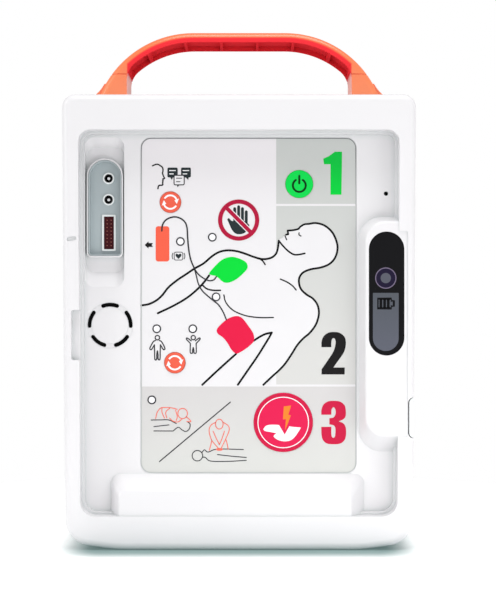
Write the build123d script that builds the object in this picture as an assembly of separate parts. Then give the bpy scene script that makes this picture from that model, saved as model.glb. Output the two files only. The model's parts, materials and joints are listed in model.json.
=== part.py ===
from build123d import *
import math
import os

# An automated external defibrillator. The front faces -Y, +X is to the right seen from the
# front, +Z is up, and the origin is under the middle of the case on the surface it stands on.
# "Depth" below always means the distance behind the plane of the front rim.

# ------------------------------------------------------------------ driving dimensions, mm
DEPTH = 88.0
FRONT = -DEPTH / 2
SPLIT = 44.0
BACK_FACE = 87.2
CASE_HEIGHT = 283.6
HALF_WIDTH_TOP = 110.4
HALF_WIDTH_FOOT = 108.4
FOOT_FLAT = 76.0
FOOT_RISE = 4.5
WALL = 2.8
EDGE_RADIUS = 4.5
SCREW_RADIUS = 2.0

LEDGE = 10.0
LEDGE_WIDTH = 1.7
FLOOR = 14.0
FLOOR_BACK = FLOOR + WALL

WINDOW_X = 91.7
WINDOW_Z = 159.5
WINDOW_WIDTH = 22.1
WINDOW_HEIGHT = 77.1
ISLAND_FACE = 0.8
ISLAND_RIGHT = 104.9
ISLAND_BOTTOM = 70.2
ISLAND_STEP = 198.3
SEAT_DEPTH = ISLAND_FACE + 2.2

SOCKET_X = -84.7
SOCKET_LEFT = -96.0
SOCKET_RIGHT = -73.4
SOCKET_BOTTOM = 182.5
SOCKET_TOP = 244.6
SOCKET_COLLAR = 14.7
SOCKET_LIP = 15.7
SOCKET_FLOOR = 20.4
CHANNEL_FLOOR = 19.0
CHANNEL_BACK = CHANNEL_FLOOR + WALL
JACK_X = -82.8
JACK_HEIGHTS = (219.0, 232.5)
JACK_PIN_RADIUS = 1.1
JACK_BACK = 30.0
HEADER_X = -82.6
HEADER_Z = 198.0

SPEAKER_X = -81.4
SPEAKER_Z = 139.5
SPEAKER_SLOT_RADIUS = 13.0

MIC_X = 92.6
MIC_Z = 222.5

OVERLAY_LEFT = -61.9
OVERLAY_RIGHT = 73.8
OVERLAY_BOTTOM = 46.4
OVERLAY_TOP = 257.6
OVERLAY_CORNER = 6.4
OVERLAY_FRONT = FLOOR + 0.1
OVERLAY_BACK = FLOOR + 0.5

# centre X, centre Z and radius of each key
KEYS = {
    "power_button": (37.9, 228.5, 8.7),
    "shock_button": (27.8, 78.3, 18.6),
    "language_button": (-43.3, 217.1, 6.65),
    "patient_button": (-40.5, 115.9, 6.6),
}
KEY_PROUD = 0.5
KEY_TRAVEL = 1.0
KEY_GAP = 0.3
KEY_FLANGE = 1.2
STEM_RADIUS = 1.4
STEM_LENGTH = 2.9

LED_PLACES = (
    (-37.0, 192.3), (-16.9, 195.0), (-14.5, 157.4),
    (-51.9, 137.3), (-29.2, 137.3), (-55.0, 92.5),
)
LED_LENS_RADIUS = 2.2

KEYPAD_FRONT = 23.0
BOARD = 1.6
KEYPAD_BACK = KEYPAD_FRONT + BOARD
MAIN_FRONT = 32.0
MAIN_BACK = MAIN_FRONT + BOARD
STANDOFFS = tuple((x, z) for z in (58.0, 146.5, 248.0) for x in (-52.0, 66.0))

PORT_LEFT = 105.0
PORT_BOTTOM = 69.5
PORT_TOP = 95.0
PORT_BACK = 28.6
HINGE_X = 106.7
HINGE_DEPTH = 25.4
HINGE_PIN_RADIUS = 0.6
HINGE_BARREL_RADIUS = 1.4
COVER_GAP = 0.35
COVER_RECESS = 0.4
NAIL_GAP = 0.8

HANDLE_TOP = 326.9
HANDLE_ARC = 65.0
HANDLE_ARC_X = 29.5
HANDLE_THICK = 6.4
HANDLE_LEG_X = 72.0
HANDLE_NEAR = 28.0
HANDLE_FAR = 65.0
HANDLE_PARTING = 300.0
PARTING_CHAMFER = 0.4
TOE_X = 96.0
HANDLE_SCREW_X = 82.0
HANDLE_SCREW_DEPTHS = (SPLIT - 9, SPLIT + 9)

BAY_HALF_WIDTH = 56.0
BAY_BOTTOM = 38.0
BAY_TOP = 108.0
BAY_FLOOR = 50.0
BAY_WALL = 2.4
BATTERY_GAP = 0.4
LATCH_CLEARANCE = 0.3

CASE_SCREWS = (
    (-96.0, 270.0), (96.0, 270.0), (-97.5, 110.0),
    (97.5, 110.0), (-92.0, 14.0), (92.0, 14.0),
)
BACK_FEET = ((-86.0, 26.0), (86.0, 26.0), (-86.0, 256.0), (86.0, 256.0))


# ------------------------------------------------------------------------------ helpers
def plane_at(depth):
    """Workplane at a depth, whose sketch x and y are the model's X and Z."""
    return Plane(origin=(0, FRONT + depth, 0), x_dir=(1, 0, 0), z_dir=(0, -1, 0))


def slab(sketch, near, far):
    """A sketch's solid between two depths."""
    return extrude(plane_at(far) * sketch, amount=far - near)


def taper(near_sketch, near, far_sketch, far):
    """Solid whose section changes evenly from one depth to another."""
    return loft([plane_at(near) * near_sketch, plane_at(far) * far_sketch], ruled=True)


def rounded(left, right, bottom, top, radius):
    centre = Pos((left + right) / 2, (bottom + top) / 2)
    return centre * RectangleRounded(right - left, top - bottom, radius)


def plain(left, right, bottom, top):
    return Pos((left + right) / 2, (bottom + top) / 2) * Rectangle(right - left, top - bottom)


def disc(x, z, radius, near, far):
    return slab(Pos(x, z) * Circle(radius), near, far)


def tube(x, z, outer, inner, near, far):
    return slab(Pos(x, z) * (Circle(outer) - Circle(inner)), near, far)


def joined(pieces):
    total = pieces[0]
    for piece in pieces[1:]:
        total = total + piece
    return total


def upright(x, depth, radius, bottom, top):
    """Vertical cylinder."""
    return Pos(x, FRONT + depth, (bottom + top) / 2) * Cylinder(radius, top - bottom)


def lying(x, depth, z, radius, length):
    """Cylinder along X."""
    return Pos(x, FRONT + depth, z) * Rot(0, 90, 0) * Cylinder(radius, length)


def lead(points, radius, bends):
    """Round wire along straight runs joined by tangent arcs; points are X, depth, Z."""
    route = FilletPolyline(*[(x, FRONT + d, z) for x, d, z in points], radius=bends)
    section = Plane(origin=route @ 0, z_dir=route % 0) * Circle(radius)
    return sweep(section, path=route)


# ------------------------------------------------------------------------------ case
def case_outline(inset=0.0):
    corners = [
        (-FOOT_FLAT, 0), (FOOT_FLAT, 0), (HALF_WIDTH_FOOT, FOOT_RISE),
        (HALF_WIDTH_TOP, CASE_HEIGHT), (-HALF_WIDTH_TOP, CASE_HEIGHT), (-HALF_WIDTH_FOOT, FOOT_RISE),
    ]
    face = make_face(FilletPolyline(*corners, radius=[100, 100, 17, 8, 8, 17], close=True))
    return offset(face, -inset) if inset else face


def recess_outline(grow=0.0):
    corners = [(-98.6, 21.0), (98.4, 21.0), (99.8, 261.3), (-100.0, 261.3)]
    face = make_face(FilletPolyline(*corners, radius=[9.5, 9.5, 7.5, 7.5], close=True))
    return offset(face, grow) if grow else face


def socket_outline(grow=0.0):
    """Arched opening of the electrode socket: round top, small bottom corners."""
    radius = (SOCKET_RIGHT - SOCKET_LEFT) / 2 + grow
    arch_z = SOCKET_TOP + grow - radius
    foot = 3.0 + grow
    body = rounded(SOCKET_X - radius, SOCKET_X + radius, SOCKET_BOTTOM - grow, arch_z + foot, foot)
    return body + Pos(SOCKET_X, arch_z) * Circle(radius)


def overlay_outline(grow=0.0):
    return rounded(
        OVERLAY_LEFT - grow, OVERLAY_RIGHT + grow,
        OVERLAY_BOTTOM - grow, OVERLAY_TOP + grow, OVERLAY_CORNER + grow,
    )


def front_blank():
    blank = slab(case_outline(), 0, SPLIT)
    blank = fillet(blank.edges().group_by(Axis.Y)[0], EDGE_RADIUS)
    return chamfer(blank.edges().group_by(Axis.Y)[-1], 0.35)


def status_island(blank):
    """Raised block on the right, a little lower than the rim, that carries the status window."""
    near = rounded(78.8, 120.0, ISLAND_BOTTOM + 0.6, 204.3, 12.5)
    far = rounded(75.2, 120.0, 60.0, 207.9, 14.5)
    island = taper(near, ISLAND_FACE, far, FLOOR)
    face_edges = island.edges().group_by(Axis.Y)[0]
    island = fillet([edge for edge in face_edges if edge.center().X < 110], 2.0)
    return island & blank


def window_outline(inset=0.0):
    return Pos(WINDOW_X, WINDOW_Z) * SlotOverall(WINDOW_HEIGHT - 2 * inset, WINDOW_WIDTH - 2 * inset, 90)


def foot_block():
    """Raised block along the bottom of the recess."""
    near = rounded(-74.9, 69.9, 6.0, 36.8, 5.0)
    far = rounded(-81.1, 78.8, 6.0, 46.1, 6.5)
    block = taper(near, 2.0, far, FLOOR)
    return fillet(block.edges().group_by(Axis.Y)[0], 1.5)


def rim_hollow():
    """Space inside the rim, left solid beside the finger notch and the data port."""
    ring = case_outline(3.0) - recess_outline(2.6)
    hollow = slab(ring, 4.0, FLOOR_BACK + 0.2)
    notch_side = slab(plain(-112, -96, 112, 155), 3, 18)
    port_side = slab(plain(96, 112, 62, 103), 3, 18)
    return hollow - notch_side - port_side


def speaker_slots():
    """Five curved sound slots in a circle."""
    slots = []
    for index in range(5):
        middle = 90 + index * 72
        arc = CenterArc((0, 0), SPEAKER_SLOT_RADIUS, middle - 20, 40)
        slots.append(Pos(SPEAKER_X, SPEAKER_Z) * SlotArc(arc, 2.5))
    return slots


def port_opening():
    return rounded(PORT_LEFT, PORT_LEFT + 16, PORT_BOTTOM, PORT_TOP, 3.5)


def hinge_lugs():
    """Two lugs at the ends of the data port that hold the cover's hinge pin."""
    lugs = []
    for bottom, top in ((PORT_BOTTOM - 0.5, 73.4), (91.1, PORT_TOP + 0.5)):
        root = plain(HINGE_X - HINGE_BARREL_RADIUS, HINGE_X + 1.2, bottom, top)
        arm = slab(root, HINGE_DEPTH, PORT_BACK + 0.5)
        arm = arm + upright(HINGE_X, HINGE_DEPTH, HINGE_BARREL_RADIUS, bottom, top)
        lugs.append(arm - upright(HINGE_X, HINGE_DEPTH, HINGE_PIN_RADIUS, 70.5, 94.0))
    return lugs


def front_case():
    blank = front_blank()
    shell = blank - slab(case_outline(WALL), FLOOR_BACK, SPLIT + 1) - rim_hollow()
    shell = shell - slab(recess_outline(), -1, LEDGE)
    shell = shell - slab(recess_outline(-LEDGE_WIDTH), LEDGE, FLOOR)
    shell = shell + status_island(blank) + foot_block()
    shell = shell - slab(rounded(82.8, 101.0, 104.0, 200.5, 8.0), 5.2, FLOOR_BACK + 0.1)
    shell = shell - slab(rounded(82.8, 95.5, 68.0, 100.0, 4.0), 6.0, FLOOR_BACK + 0.1)
    shell = shell - slab(rounded(-71.0, 67.0, 19.5, 34.5, 3.0), 5.0, FLOOR_BACK + 0.1)

    # connector channel with sloping ends, backed by its own wall
    shell = shell + slab(rounded(-100.4, -69.2, 160.4, 261.0, 8.0), FLOOR_BACK - 0.5, CHANNEL_BACK)
    channel_mouth = rounded(-97.2, -72.4, 163.6, 257.9, 6.0)
    channel_foot = rounded(-96.9, -72.7, 173.0, 252.0, 6.0)
    shell = shell - taper(channel_mouth, FLOOR, channel_foot, CHANNEL_FLOOR)
    collar = slab(socket_outline(0.2), SOCKET_COLLAR, CHANNEL_BACK)
    shell = shell + fillet(collar.edges().group_by(Axis.Y)[0], 0.4)
    shell = shell - slab(socket_outline(-0.7), FLOOR, CHANNEL_BACK + 1)

    # step between the island and the rim, status window seat and opening
    shell = shell - slab(rounded(90.0, ISLAND_RIGHT, ISLAND_BOTTOM, ISLAND_STEP, 1.2), -1, ISLAND_FACE)
    shell = shell - slab(window_outline(), -1, SEAT_DEPTH)
    shell = shell - slab(window_outline(2.3), ISLAND_FACE, SEAT_DEPTH + 4)

    # overlay recess, key and lens holes
    shell = shell - slab(overlay_outline(0.2), FLOOR, OVERLAY_BACK)
    for x, z, radius in KEYS.values():
        shell = shell - disc(x, z, radius + 0.3, FLOOR, FLOOR_BACK + 1)
    for x, z in LED_PLACES:
        shell = shell - disc(x, z, LED_LENS_RADIUS, FLOOR, FLOOR_BACK + 1)

    # speaker groove and slots, microphone hole
    shell = shell - tube(SPEAKER_X, SPEAKER_Z, 14.7, 11.3, FLOOR, FLOOR + 0.5)
    for slot in speaker_slots():
        shell = shell - slab(slot, FLOOR, FLOOR_BACK + 1)
    shell = shell - disc(MIC_X, MIC_Z, 1.4, FLOOR, FLOOR_BACK + 1)

    # finger notch in the left rim and the small dimple above it
    shell = shell - slab(rounded(-104.3, -90.0, 118.1, 149.3, 1.6), -1, 7)
    dimple = Pos(-104.0, 193.6) * Rot(0, 0, 8) * SlotOverall(6.0, 2.6)
    shell = shell - slab(dimple, -1, 1.0)

    # pocket for the data port in the right side
    shell = shell + (slab(plain(101.0, 109.0, 65.0, 99.5), FLOOR_BACK - 0.5, 31.5) & blank)
    shell = shell - slab(port_opening(), -1, PORT_BACK)
    shell = shell - slab(plain(100.0, 106.0, 77.6, 86.9), 17.5, 21.9)
    for lug in hinge_lugs():
        shell = shell + lug

    # bosses for the case screws and the board posts
    for x, z in CASE_SCREWS:
        start = 3.0 if z > 261 or z < 21 or x > 90 else FLOOR_BACK - 0.5
        shell = shell + disc(x, z, 4.6, start, SPLIT) - disc(x, z, SCREW_RADIUS, 24, SPLIT + 1)
    for x, z in STANDOFFS:
        shell = shell + disc(x, z, 3.5, FLOOR_BACK - 0.5, KEYPAD_FRONT)
        shell = shell - disc(x, z, 1.3, 18.2, KEYPAD_FRONT + 1)

    # screw holes under the handle and half of the seal groove
    for x in (-HANDLE_SCREW_X, HANDLE_SCREW_X):
        shell = shell - upright(x, HANDLE_SCREW_DEPTHS[0], 1.6, 275, 290)
    return shell - slab(case_outline(0.7) - case_outline(1.9), SPLIT - 0.6, SPLIT + 1)


def rear_case():
    blank = slab(case_outline(), SPLIT, BACK_FACE)
    blank = fillet(blank.edges().group_by(Axis.Y)[-1], 7.0)
    blank = chamfer(blank.edges().group_by(Axis.Y)[0], 0.35)
    shell = blank - slab(case_outline(WALL), SPLIT - 1, BACK_FACE - WALL)
    inner = BACK_FACE - WALL + 0.5

    # battery bay
    bay = rounded(-BAY_HALF_WIDTH, BAY_HALF_WIDTH, BAY_BOTTOM, BAY_TOP, 3.0)
    shell = shell + slab(offset(bay, BAY_WALL), BAY_FLOOR - 2.5, inner) - slab(bay, BAY_FLOOR, DEPTH + 1)
    shell = shell - slab(plain(-18.2, 18.2, 65.8, 76.2), BAY_FLOOR - 4, BAY_FLOOR + 1)

    # latch track above the bay
    shell = shell + slab(rounded(-16.5, 16.5, 109.0, 134.5, 3.0), 80.6, inner)
    shell = shell - slab(rounded(-13.6, 13.6, 111.8, 131.2, 3.0), 84.6, DEPTH + 1)
    shell = shell - slab(plain(-2.9, 2.9, 115.2, 126.6), 80, 85)
    shell = shell - slab(plain(-8.5, 8.5, 107.0, 112.0), 77.0, 80.6)

    # blank label recess, feet pockets, grip ribs beside the bay
    shell = shell - slab(rounded(-42.0, 42.0, 158.0, 222.0, 4.0), BACK_FACE - 0.5, DEPTH)
    for x, z in BACK_FEET:
        shell = shell - disc(x, z, 7.0, BACK_FACE - 0.8, DEPTH)
    for side in (-1, 1):
        for index in range(6):
            bottom = 128.0 + index * 9.0
            groove = rounded(side * 84 - 12, side * 84 + 12, bottom, bottom + 3.4, 1.6)
            shell = shell - slab(groove, BACK_FACE - 0.9, DEPTH)

    for x, z in CASE_SCREWS:
        shell = shell + disc(x, z, 5.6, SPLIT, inner)
        shell = shell - disc(x, z, 4.1, 54.0, DEPTH) - disc(x, z, SCREW_RADIUS + 0.15, SPLIT - 1, 55)
    for x in (-HANDLE_SCREW_X, HANDLE_SCREW_X):
        shell = shell - upright(x, HANDLE_SCREW_DEPTHS[1], 1.6, 275, 290)
    return shell - slab(case_outline(0.7) - case_outline(1.9), SPLIT - 1, SPLIT + 0.6)


def case_gasket():
    return slab(case_outline(0.7) - case_outline(1.9), SPLIT - 0.6, SPLIT + 0.6)


def case_screws():
    screws = []
    for x, z in CASE_SCREWS:
        head = disc(x, z, 3.6, 54.0, 57.0) - slab(Pos(x, z) * RegularPolygon(1.7, 6), 55.4, 58)
        screws.append(head + disc(x, z, SCREW_RADIUS, 28.0, 54.2))
    return screws


def back_feet():
    feet = [disc(x, z, 6.9, BACK_FACE - 0.8, DEPTH) for x, z in BACK_FEET]
    return [chamfer(foot.edges().group_by(Axis.Y)[-1], 0.4) for foot in feet]


def rear_label():
    return slab(rounded(-41.8, 41.8, 158.2, 221.8, 3.8), BACK_FACE - 0.5, BACK_FACE - 0.1)


# ------------------------------------------------------------------------------ handle
def handle_side():
    """Right half of the handle seen from the front: top bar, bend and straight-sided leg."""
    arc_z = HANDLE_TOP - HANDLE_ARC
    outer = Pos(HANDLE_ARC_X, arc_z) * Circle(HANDLE_ARC)
    inner = Pos(HANDLE_ARC_X, arc_z) * Circle(HANDLE_ARC - HANDLE_THICK)
    bar = plain(0, HANDLE_ARC_X, HANDLE_TOP - HANDLE_THICK, HANDLE_TOP)
    bend = (outer - inner) & plain(HANDLE_ARC_X, HANDLE_LEG_X, 290, 330)
    leg = outer & plain(HANDLE_LEG_X, 100, CASE_HEIGHT, 330)
    side = bar + bend + leg
    rise = math.sqrt((HANDLE_ARC - HANDLE_THICK) ** 2 - (HANDLE_LEG_X - HANDLE_ARC_X) ** 2)
    corner = side.vertices().sort_by_distance((HANDLE_LEG_X, arc_z + rise, 0))[0]
    return fillet(corner, 14)


def handle_blank():
    side = handle_side()
    outline = side + mirror(side, Plane.YZ)
    blank = slab(outline, HANDLE_NEAR, HANDLE_FAR)
    long_edges = [
        edge for edge in blank.edges()
        if is_flat_at(edge, HANDLE_NEAR, HANDLE_FAR) and outside_bend(edge)
    ]
    return fillet(long_edges, 4.6)


def is_flat_at(edge, *depths):
    """True for an edge that lies at one of the depths."""
    box = edge.bounding_box()
    thin = box.max.Y - box.min.Y < 0.01
    return thin and any(abs(box.min.Y - FRONT - depth) < 0.01 for depth in depths)


def outside_bend(edge):
    """True for the edges along the outside of the handle."""
    middle = edge @ 0.5
    if middle.Z < CASE_HEIGHT + 0.5:
        return False
    if abs(middle.X) <= HANDLE_ARC_X:
        return middle.Z > HANDLE_TOP - 0.5
    reach = math.hypot(abs(middle.X) - HANDLE_ARC_X, middle.Z - HANDLE_TOP + HANDLE_ARC)
    return reach > HANDLE_ARC - 0.5


def grip_pockets():
    """Hollows under the grip, with ribs left between them."""
    arc_z = HANDLE_TOP - HANDLE_ARC
    skin = 3.6
    deep = Pos(HANDLE_ARC_X, arc_z) * Circle(HANDLE_ARC - skin)
    curved = deep & plain(HANDLE_ARC_X, HANDLE_LEG_X - 1.0, HANDLE_PARTING + 2.5, 330)
    under = curved + plain(-0.1, HANDLE_ARC_X, 310, HANDLE_TOP - skin)
    both = under + mirror(under, Plane.YZ)
    places = [side * x for side in (-1, 1) for x in (11.7, 34.8, 58.1)]
    ribs = joined([plain(x - 0.9, x + 0.9, 295, 330) for x in places])
    return slab(both - ribs, HANDLE_NEAR + 2.6, HANDLE_FAR - 2.6)


def handle_grip():
    grip = handle_blank() & (Pos(0, 0, HANDLE_PARTING + 25) * Box(220, 60, 50))
    grip = chamfer(grip.edges().group_by(Axis.Z)[0], PARTING_CHAMFER)
    grip = grip - grip_pockets()
    for x in (-77.0, 77.0):
        grip = grip - Pos(x, 0, HANDLE_PARTING + 2) * Box(4.2, 16.2, 4.4)
    return grip


def handle_base(side):
    middle = (CASE_HEIGHT + HANDLE_PARTING) / 2
    base = handle_blank() & (Pos(side * 84, 0, middle) * Box(30, 60, HANDLE_PARTING - CASE_HEIGHT))
    flare = Spline(
        (side * TOE_X, CASE_HEIGHT + 1.2), (side * 91.6, CASE_HEIGHT + 4.2),
        (side * 88.8, CASE_HEIGHT + 7.2), (side * 86.6, CASE_HEIGHT + 10.6),
    )
    rest = Polyline(
        (side * 86.6, CASE_HEIGHT + 10.6), (side * 84, CASE_HEIGHT + 10.6), (side * 84, CASE_HEIGHT),
        (side * TOE_X, CASE_HEIGHT), (side * TOE_X, CASE_HEIGHT + 1.2),
    )
    toe = make_face([flare, rest])
    base = base + slab(toe, HANDLE_NEAR + 3.5, HANDLE_FAR - 3.5)
    base = chamfer(base.edges().group_by(Axis.Z)[-1], PARTING_CHAMFER)
    base = base + Pos(side * 77.0, 0, HANDLE_PARTING + 1.5) * Box(4, 16, 5)
    for depth in HANDLE_SCREW_DEPTHS:
        base = base - upright(side * HANDLE_SCREW_X, depth, 1.5, CASE_HEIGHT - 1, 293)
    return base


def handle_screws():
    screws = []
    for x in (-HANDLE_SCREW_X, HANDLE_SCREW_X):
        for depth in HANDLE_SCREW_DEPTHS:
            head = upright(x, depth, 2.8, CASE_HEIGHT - WALL - 2.0, CASE_HEIGHT - WALL)
            screws.append(head + upright(x, depth, 1.5, CASE_HEIGHT - WALL - 0.5, 292.5))
    return screws


# ------------------------------------------------------------------------------ front panel
def control_overlay():
    sheet = slab(overlay_outline(), OVERLAY_FRONT, OVERLAY_BACK)
    for x, z, radius in KEYS.values():
        sheet = sheet - disc(x, z, radius + 0.2, FLOOR, OVERLAY_BACK + 1)
    for x, z in LED_PLACES:
        sheet = sheet - disc(x, z, LED_LENS_RADIUS, FLOOR, OVERLAY_BACK + 1)
    return sheet


def indicator_lenses():
    lenses = []
    for x, z in LED_PLACES:
        lens = disc(x, z, LED_LENS_RADIUS, OVERLAY_FRONT, FLOOR_BACK + 0.2)
        lenses.append(lens + disc(x, z, LED_LENS_RADIUS + 0.9, FLOOR_BACK, FLOOR_BACK + 0.8))
    return lenses


def key(x, z, radius):
    """Round key: cap, wider flange behind the panel, and a stem into its switch."""
    front = FLOOR - KEY_PROUD
    flange = FLOOR_BACK + KEY_GAP
    cap = disc(x, z, radius, front, flange + 0.2)
    cap = fillet(cap.edges().group_by(Axis.Y)[0], 0.4)
    cap = cap + disc(x, z, radius + 1.5, flange, flange + KEY_FLANGE)
    return cap + disc(x, z, STEM_RADIUS, flange, flange + KEY_FLANGE + STEM_LENGTH)


def key_switches():
    near = FLOOR_BACK + KEY_GAP + KEY_FLANGE + KEY_TRAVEL + 0.3
    switches = []
    for x, z, radius in KEYS.values():
        body = slab(rounded(x - 3.5, x + 3.5, z - 3.5, z + 3.5, 0.6), near, KEYPAD_FRONT)
        switches.append(body - disc(x, z, STEM_RADIUS + 0.35, near - 1, KEYPAD_FRONT + 1))
    return switches


def keypad_board():
    board = slab(rounded(-57.0, 71.0, 52.0, 254.0, 3.0), KEYPAD_FRONT, KEYPAD_BACK)
    for x, z in STANDOFFS:
        board = board - disc(x, z, 1.3, KEYPAD_FRONT - 1, KEYPAD_BACK + 1)
    return board


def indicator_leds():
    return [disc(x, z, 1.5, 19.6, KEYPAD_FRONT) for x, z in LED_PLACES]


def board_posts():
    posts = []
    for x, z in STANDOFFS:
        post = slab(Pos(x, z) * RegularPolygon(3.0, 6), KEYPAD_BACK, MAIN_FRONT)
        post = post + disc(x, z, 1.3, 18.2, KEYPAD_BACK + 0.2)
        posts.append(post - disc(x, z, 1.2, 27.0, MAIN_FRONT + 1))
    return posts


def board_screws():
    screws = []
    for x, z in STANDOFFS:
        head = disc(x, z, 2.6, MAIN_BACK, MAIN_BACK + 1.8)
        screws.append(head + disc(x, z, 1.2, 27.0, MAIN_BACK + 0.2))
    return screws


# ------------------------------------------------------------------------------ status window
def status_window():
    window = slab(window_outline(0.1), ISLAND_FACE + 0.25, SEAT_DEPTH)
    return fillet(window.edges().group_by(Axis.Y)[0], 0.3)


def lcd_module():
    return slab(plain(83.4, 99.7, 123.5, 161.0) & window_outline(2.6), SEAT_DEPTH, SEAT_DEPTH + 2.8)


def status_led():
    return tube(91.2, 169.1, 5.0, 2.0, SEAT_DEPTH, SEAT_DEPTH + 2.8)


def status_board():
    return slab(rounded(83.2, 100.4, 118.0, 190.0, 2.0), SEAT_DEPTH + 3.0, SEAT_DEPTH + 3.0 + BOARD)


# ------------------------------------------------------------------------------ electrode socket
def electrode_socket():
    body = slab(socket_outline(-0.8), SOCKET_LIP, SOCKET_FLOOR + 3)
    body = fillet(body.edges().group_by(Axis.Y)[0], 0.3)
    body = body - slab(socket_outline(-1.7), SOCKET_LIP - 1, SOCKET_FLOOR)
    body = body + slab(socket_outline(1.6), CHANNEL_BACK, CHANNEL_BACK + 1.6)
    body = body + slab(rounded(-92.0, -75.0, 185.0, 240.0, 2.0), CHANNEL_BACK + 1, 32.0)
    for z in JACK_HEIGHTS:
        body = body - disc(JACK_X, z, 2.7, SOCKET_FLOOR - 1, 33)
    return body - slab(header_outline(), SOCKET_FLOOR - 1, 33)


def header_outline(grow=0.0):
    half_width, half_height = 3.2 + grow, 10.4 + grow
    return rounded(
        HEADER_X - half_width, HEADER_X + half_width,
        HEADER_Z - half_height, HEADER_Z + half_height, 0.4 + grow / 5,
    )


def socket_bezels():
    bezels = [tube(JACK_X, z, 3.65, 2.7, SOCKET_FLOOR - 1.0, SOCKET_FLOOR) for z in JACK_HEIGHTS]
    return bezels + [slab(header_outline(1.1) - header_outline(), SOCKET_FLOOR - 1.0, SOCKET_FLOOR)]


def jack_sleeves():
    return [
        disc(JACK_X, z, 2.7, SOCKET_FLOOR - 0.4, 32.0) - disc(JACK_X, z, 2.0, SOCKET_FLOOR - 1, JACK_BACK)
        - disc(JACK_X, z, 0.8, 29, 33)
        for z in JACK_HEIGHTS
    ]


def jack_pins():
    pins = [fillet(
        disc(JACK_X, z, JACK_PIN_RADIUS, SOCKET_FLOOR + 0.2, JACK_BACK).edges().group_by(Axis.Y)[0], 0.4,
    ) for z in JACK_HEIGHTS]
    return [pin + disc(JACK_X, z, 0.8, JACK_BACK - 0.5, 33.5) for pin, z in zip(pins, JACK_HEIGHTS)]


def header_places():
    return [
        (HEADER_X + column * 2.54 - 1.27, HEADER_Z + (row - 3.5) * 2.3)
        for row in range(8) for column in range(2)
    ]


def header_block():
    block = slab(header_outline(), SOCKET_FLOOR + 0.9, 32.0)
    for x, z in header_places():
        block = block - disc(x, z, 0.35, SOCKET_FLOOR, 33)
    return block


def header_pins():
    return [disc(x, z, 0.35, SOCKET_FLOOR + 0.1, 33.0) for x, z in header_places()]


def electrode_leads():
    leads = []
    for z in JACK_HEIGHTS:
        points = [(JACK_X, 33.5, z), (JACK_X, 45.0, z), (-56.0, 45.0, z), (-56.0, MAIN_BACK, z)]
        leads.append(lead(points, 1.2, 5.0))
    return leads


# ------------------------------------------------------------------------------ speaker, microphone
def around_speaker(profile):
    """Solid of revolution about the speaker's axis; the profile's points are radius, depth."""
    face = make_face(Polyline(*profile, close=True))
    plane = Plane(origin=(SPEAKER_X, FRONT, SPEAKER_Z), x_dir=(1, 0, 0), z_dir=(0, 0, 1))
    return revolve(plane * face, Axis((SPEAKER_X, 0, SPEAKER_Z), (0, 1, 0)), 360)


def speaker_frame():
    return around_speaker([(15.4, 17.2), (17.5, 17.2), (17.5, 19.2), (16.4, 19.2), (9.6, 25.0), (7.0, 25.0),
                           (7.0, 24.2), (9.2, 24.2), (15.4, 18.8)])


def speaker_cone():
    return around_speaker([(15.2, 17.6), (15.2, 18.0), (13.4, 18.0), (5.0, 22.6), (0.0, 22.6),
                           (0.0, 22.2), (5.0, 22.2), (13.2, 17.6)])


def speaker_magnet():
    return around_speaker([(0.0, 25.0), (10.5, 25.0), (10.5, 30.0), (0.0, 30.0)])


def speaker_mesh():
    return disc(SPEAKER_X, SPEAKER_Z, 17.0, FLOOR_BACK, FLOOR_BACK + 0.4)


def speaker_leads():
    leads = []
    for x, z in ((-69.4, 127.5), (-68.2, 129.1)):
        points = [(x, 19.2, z), (x, 40.0, z), (-53.0, 40.0, z), (-53.0, MAIN_BACK, z)]
        leads.append(lead(points, 0.45, 2.8))
    return leads


def microphone():
    return disc(MIC_X, MIC_Z, 3.0, FLOOR_BACK + 1.0, FLOOR_BACK + 4.0)


def microphone_boot():
    boot = disc(MIC_X, MIC_Z, 4.6, FLOOR_BACK, FLOOR_BACK + 5.0) - microphone()
    return boot - disc(MIC_X, MIC_Z, 1.4, FLOOR, FLOOR_BACK + 2)


# ------------------------------------------------------------------------------ data port
def port_cover():
    """Small hinged door that follows the rounded front edge of the right side."""
    skin = slab(case_outline(COVER_RECESS), COVER_RECESS, SPLIT)
    skin = fillet(skin.edges().group_by(Axis.Y)[0], EDGE_RADIUS - COVER_RECESS)
    left = PORT_LEFT + NAIL_GAP
    door = rounded(left, left + 14, PORT_BOTTOM + COVER_GAP, PORT_TOP - COVER_GAP, 3.2)
    cover = slab(door, -1, HINGE_DEPTH - 1.8) & skin
    bottom = 73.4 + COVER_GAP
    top = 91.1 - COVER_GAP
    web = slab(plain(HINGE_X - 0.1, HINGE_X + 1.0, bottom, top), HINGE_DEPTH - 2.4, HINGE_DEPTH)
    barrel = upright(HINGE_X, HINGE_DEPTH, HINGE_BARREL_RADIUS, bottom, top)
    bore = upright(HINGE_X, HINGE_DEPTH, HINGE_PIN_RADIUS + 0.05, bottom - 1, top + 1)
    return (cover + web + barrel) - bore


def port_hinge_pin():
    return upright(HINGE_X, HINGE_DEPTH, HINGE_PIN_RADIUS, 70.5, 94.0)


def data_port():
    shell = slab(plain(96.0, 104.8, 77.6, 86.9), 17.5, 21.9)
    shell = shell - slab(plain(98.0, 106.0, 78.1, 86.4), 18.0, 21.4)
    return shell + slab(plain(97.0, 103.6, 79.2, 85.3), 19.3, 20.1)


# ------------------------------------------------------------------------------ electronics
def main_board():
    board = slab(rounded(-58.0, 72.0, 44.0, 256.0, 3.0), MAIN_FRONT, MAIN_BACK)
    for x, z in STANDOFFS:
        board = board - disc(x, z, 1.2, MAIN_FRONT - 1, MAIN_BACK + 1)
    return board


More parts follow.
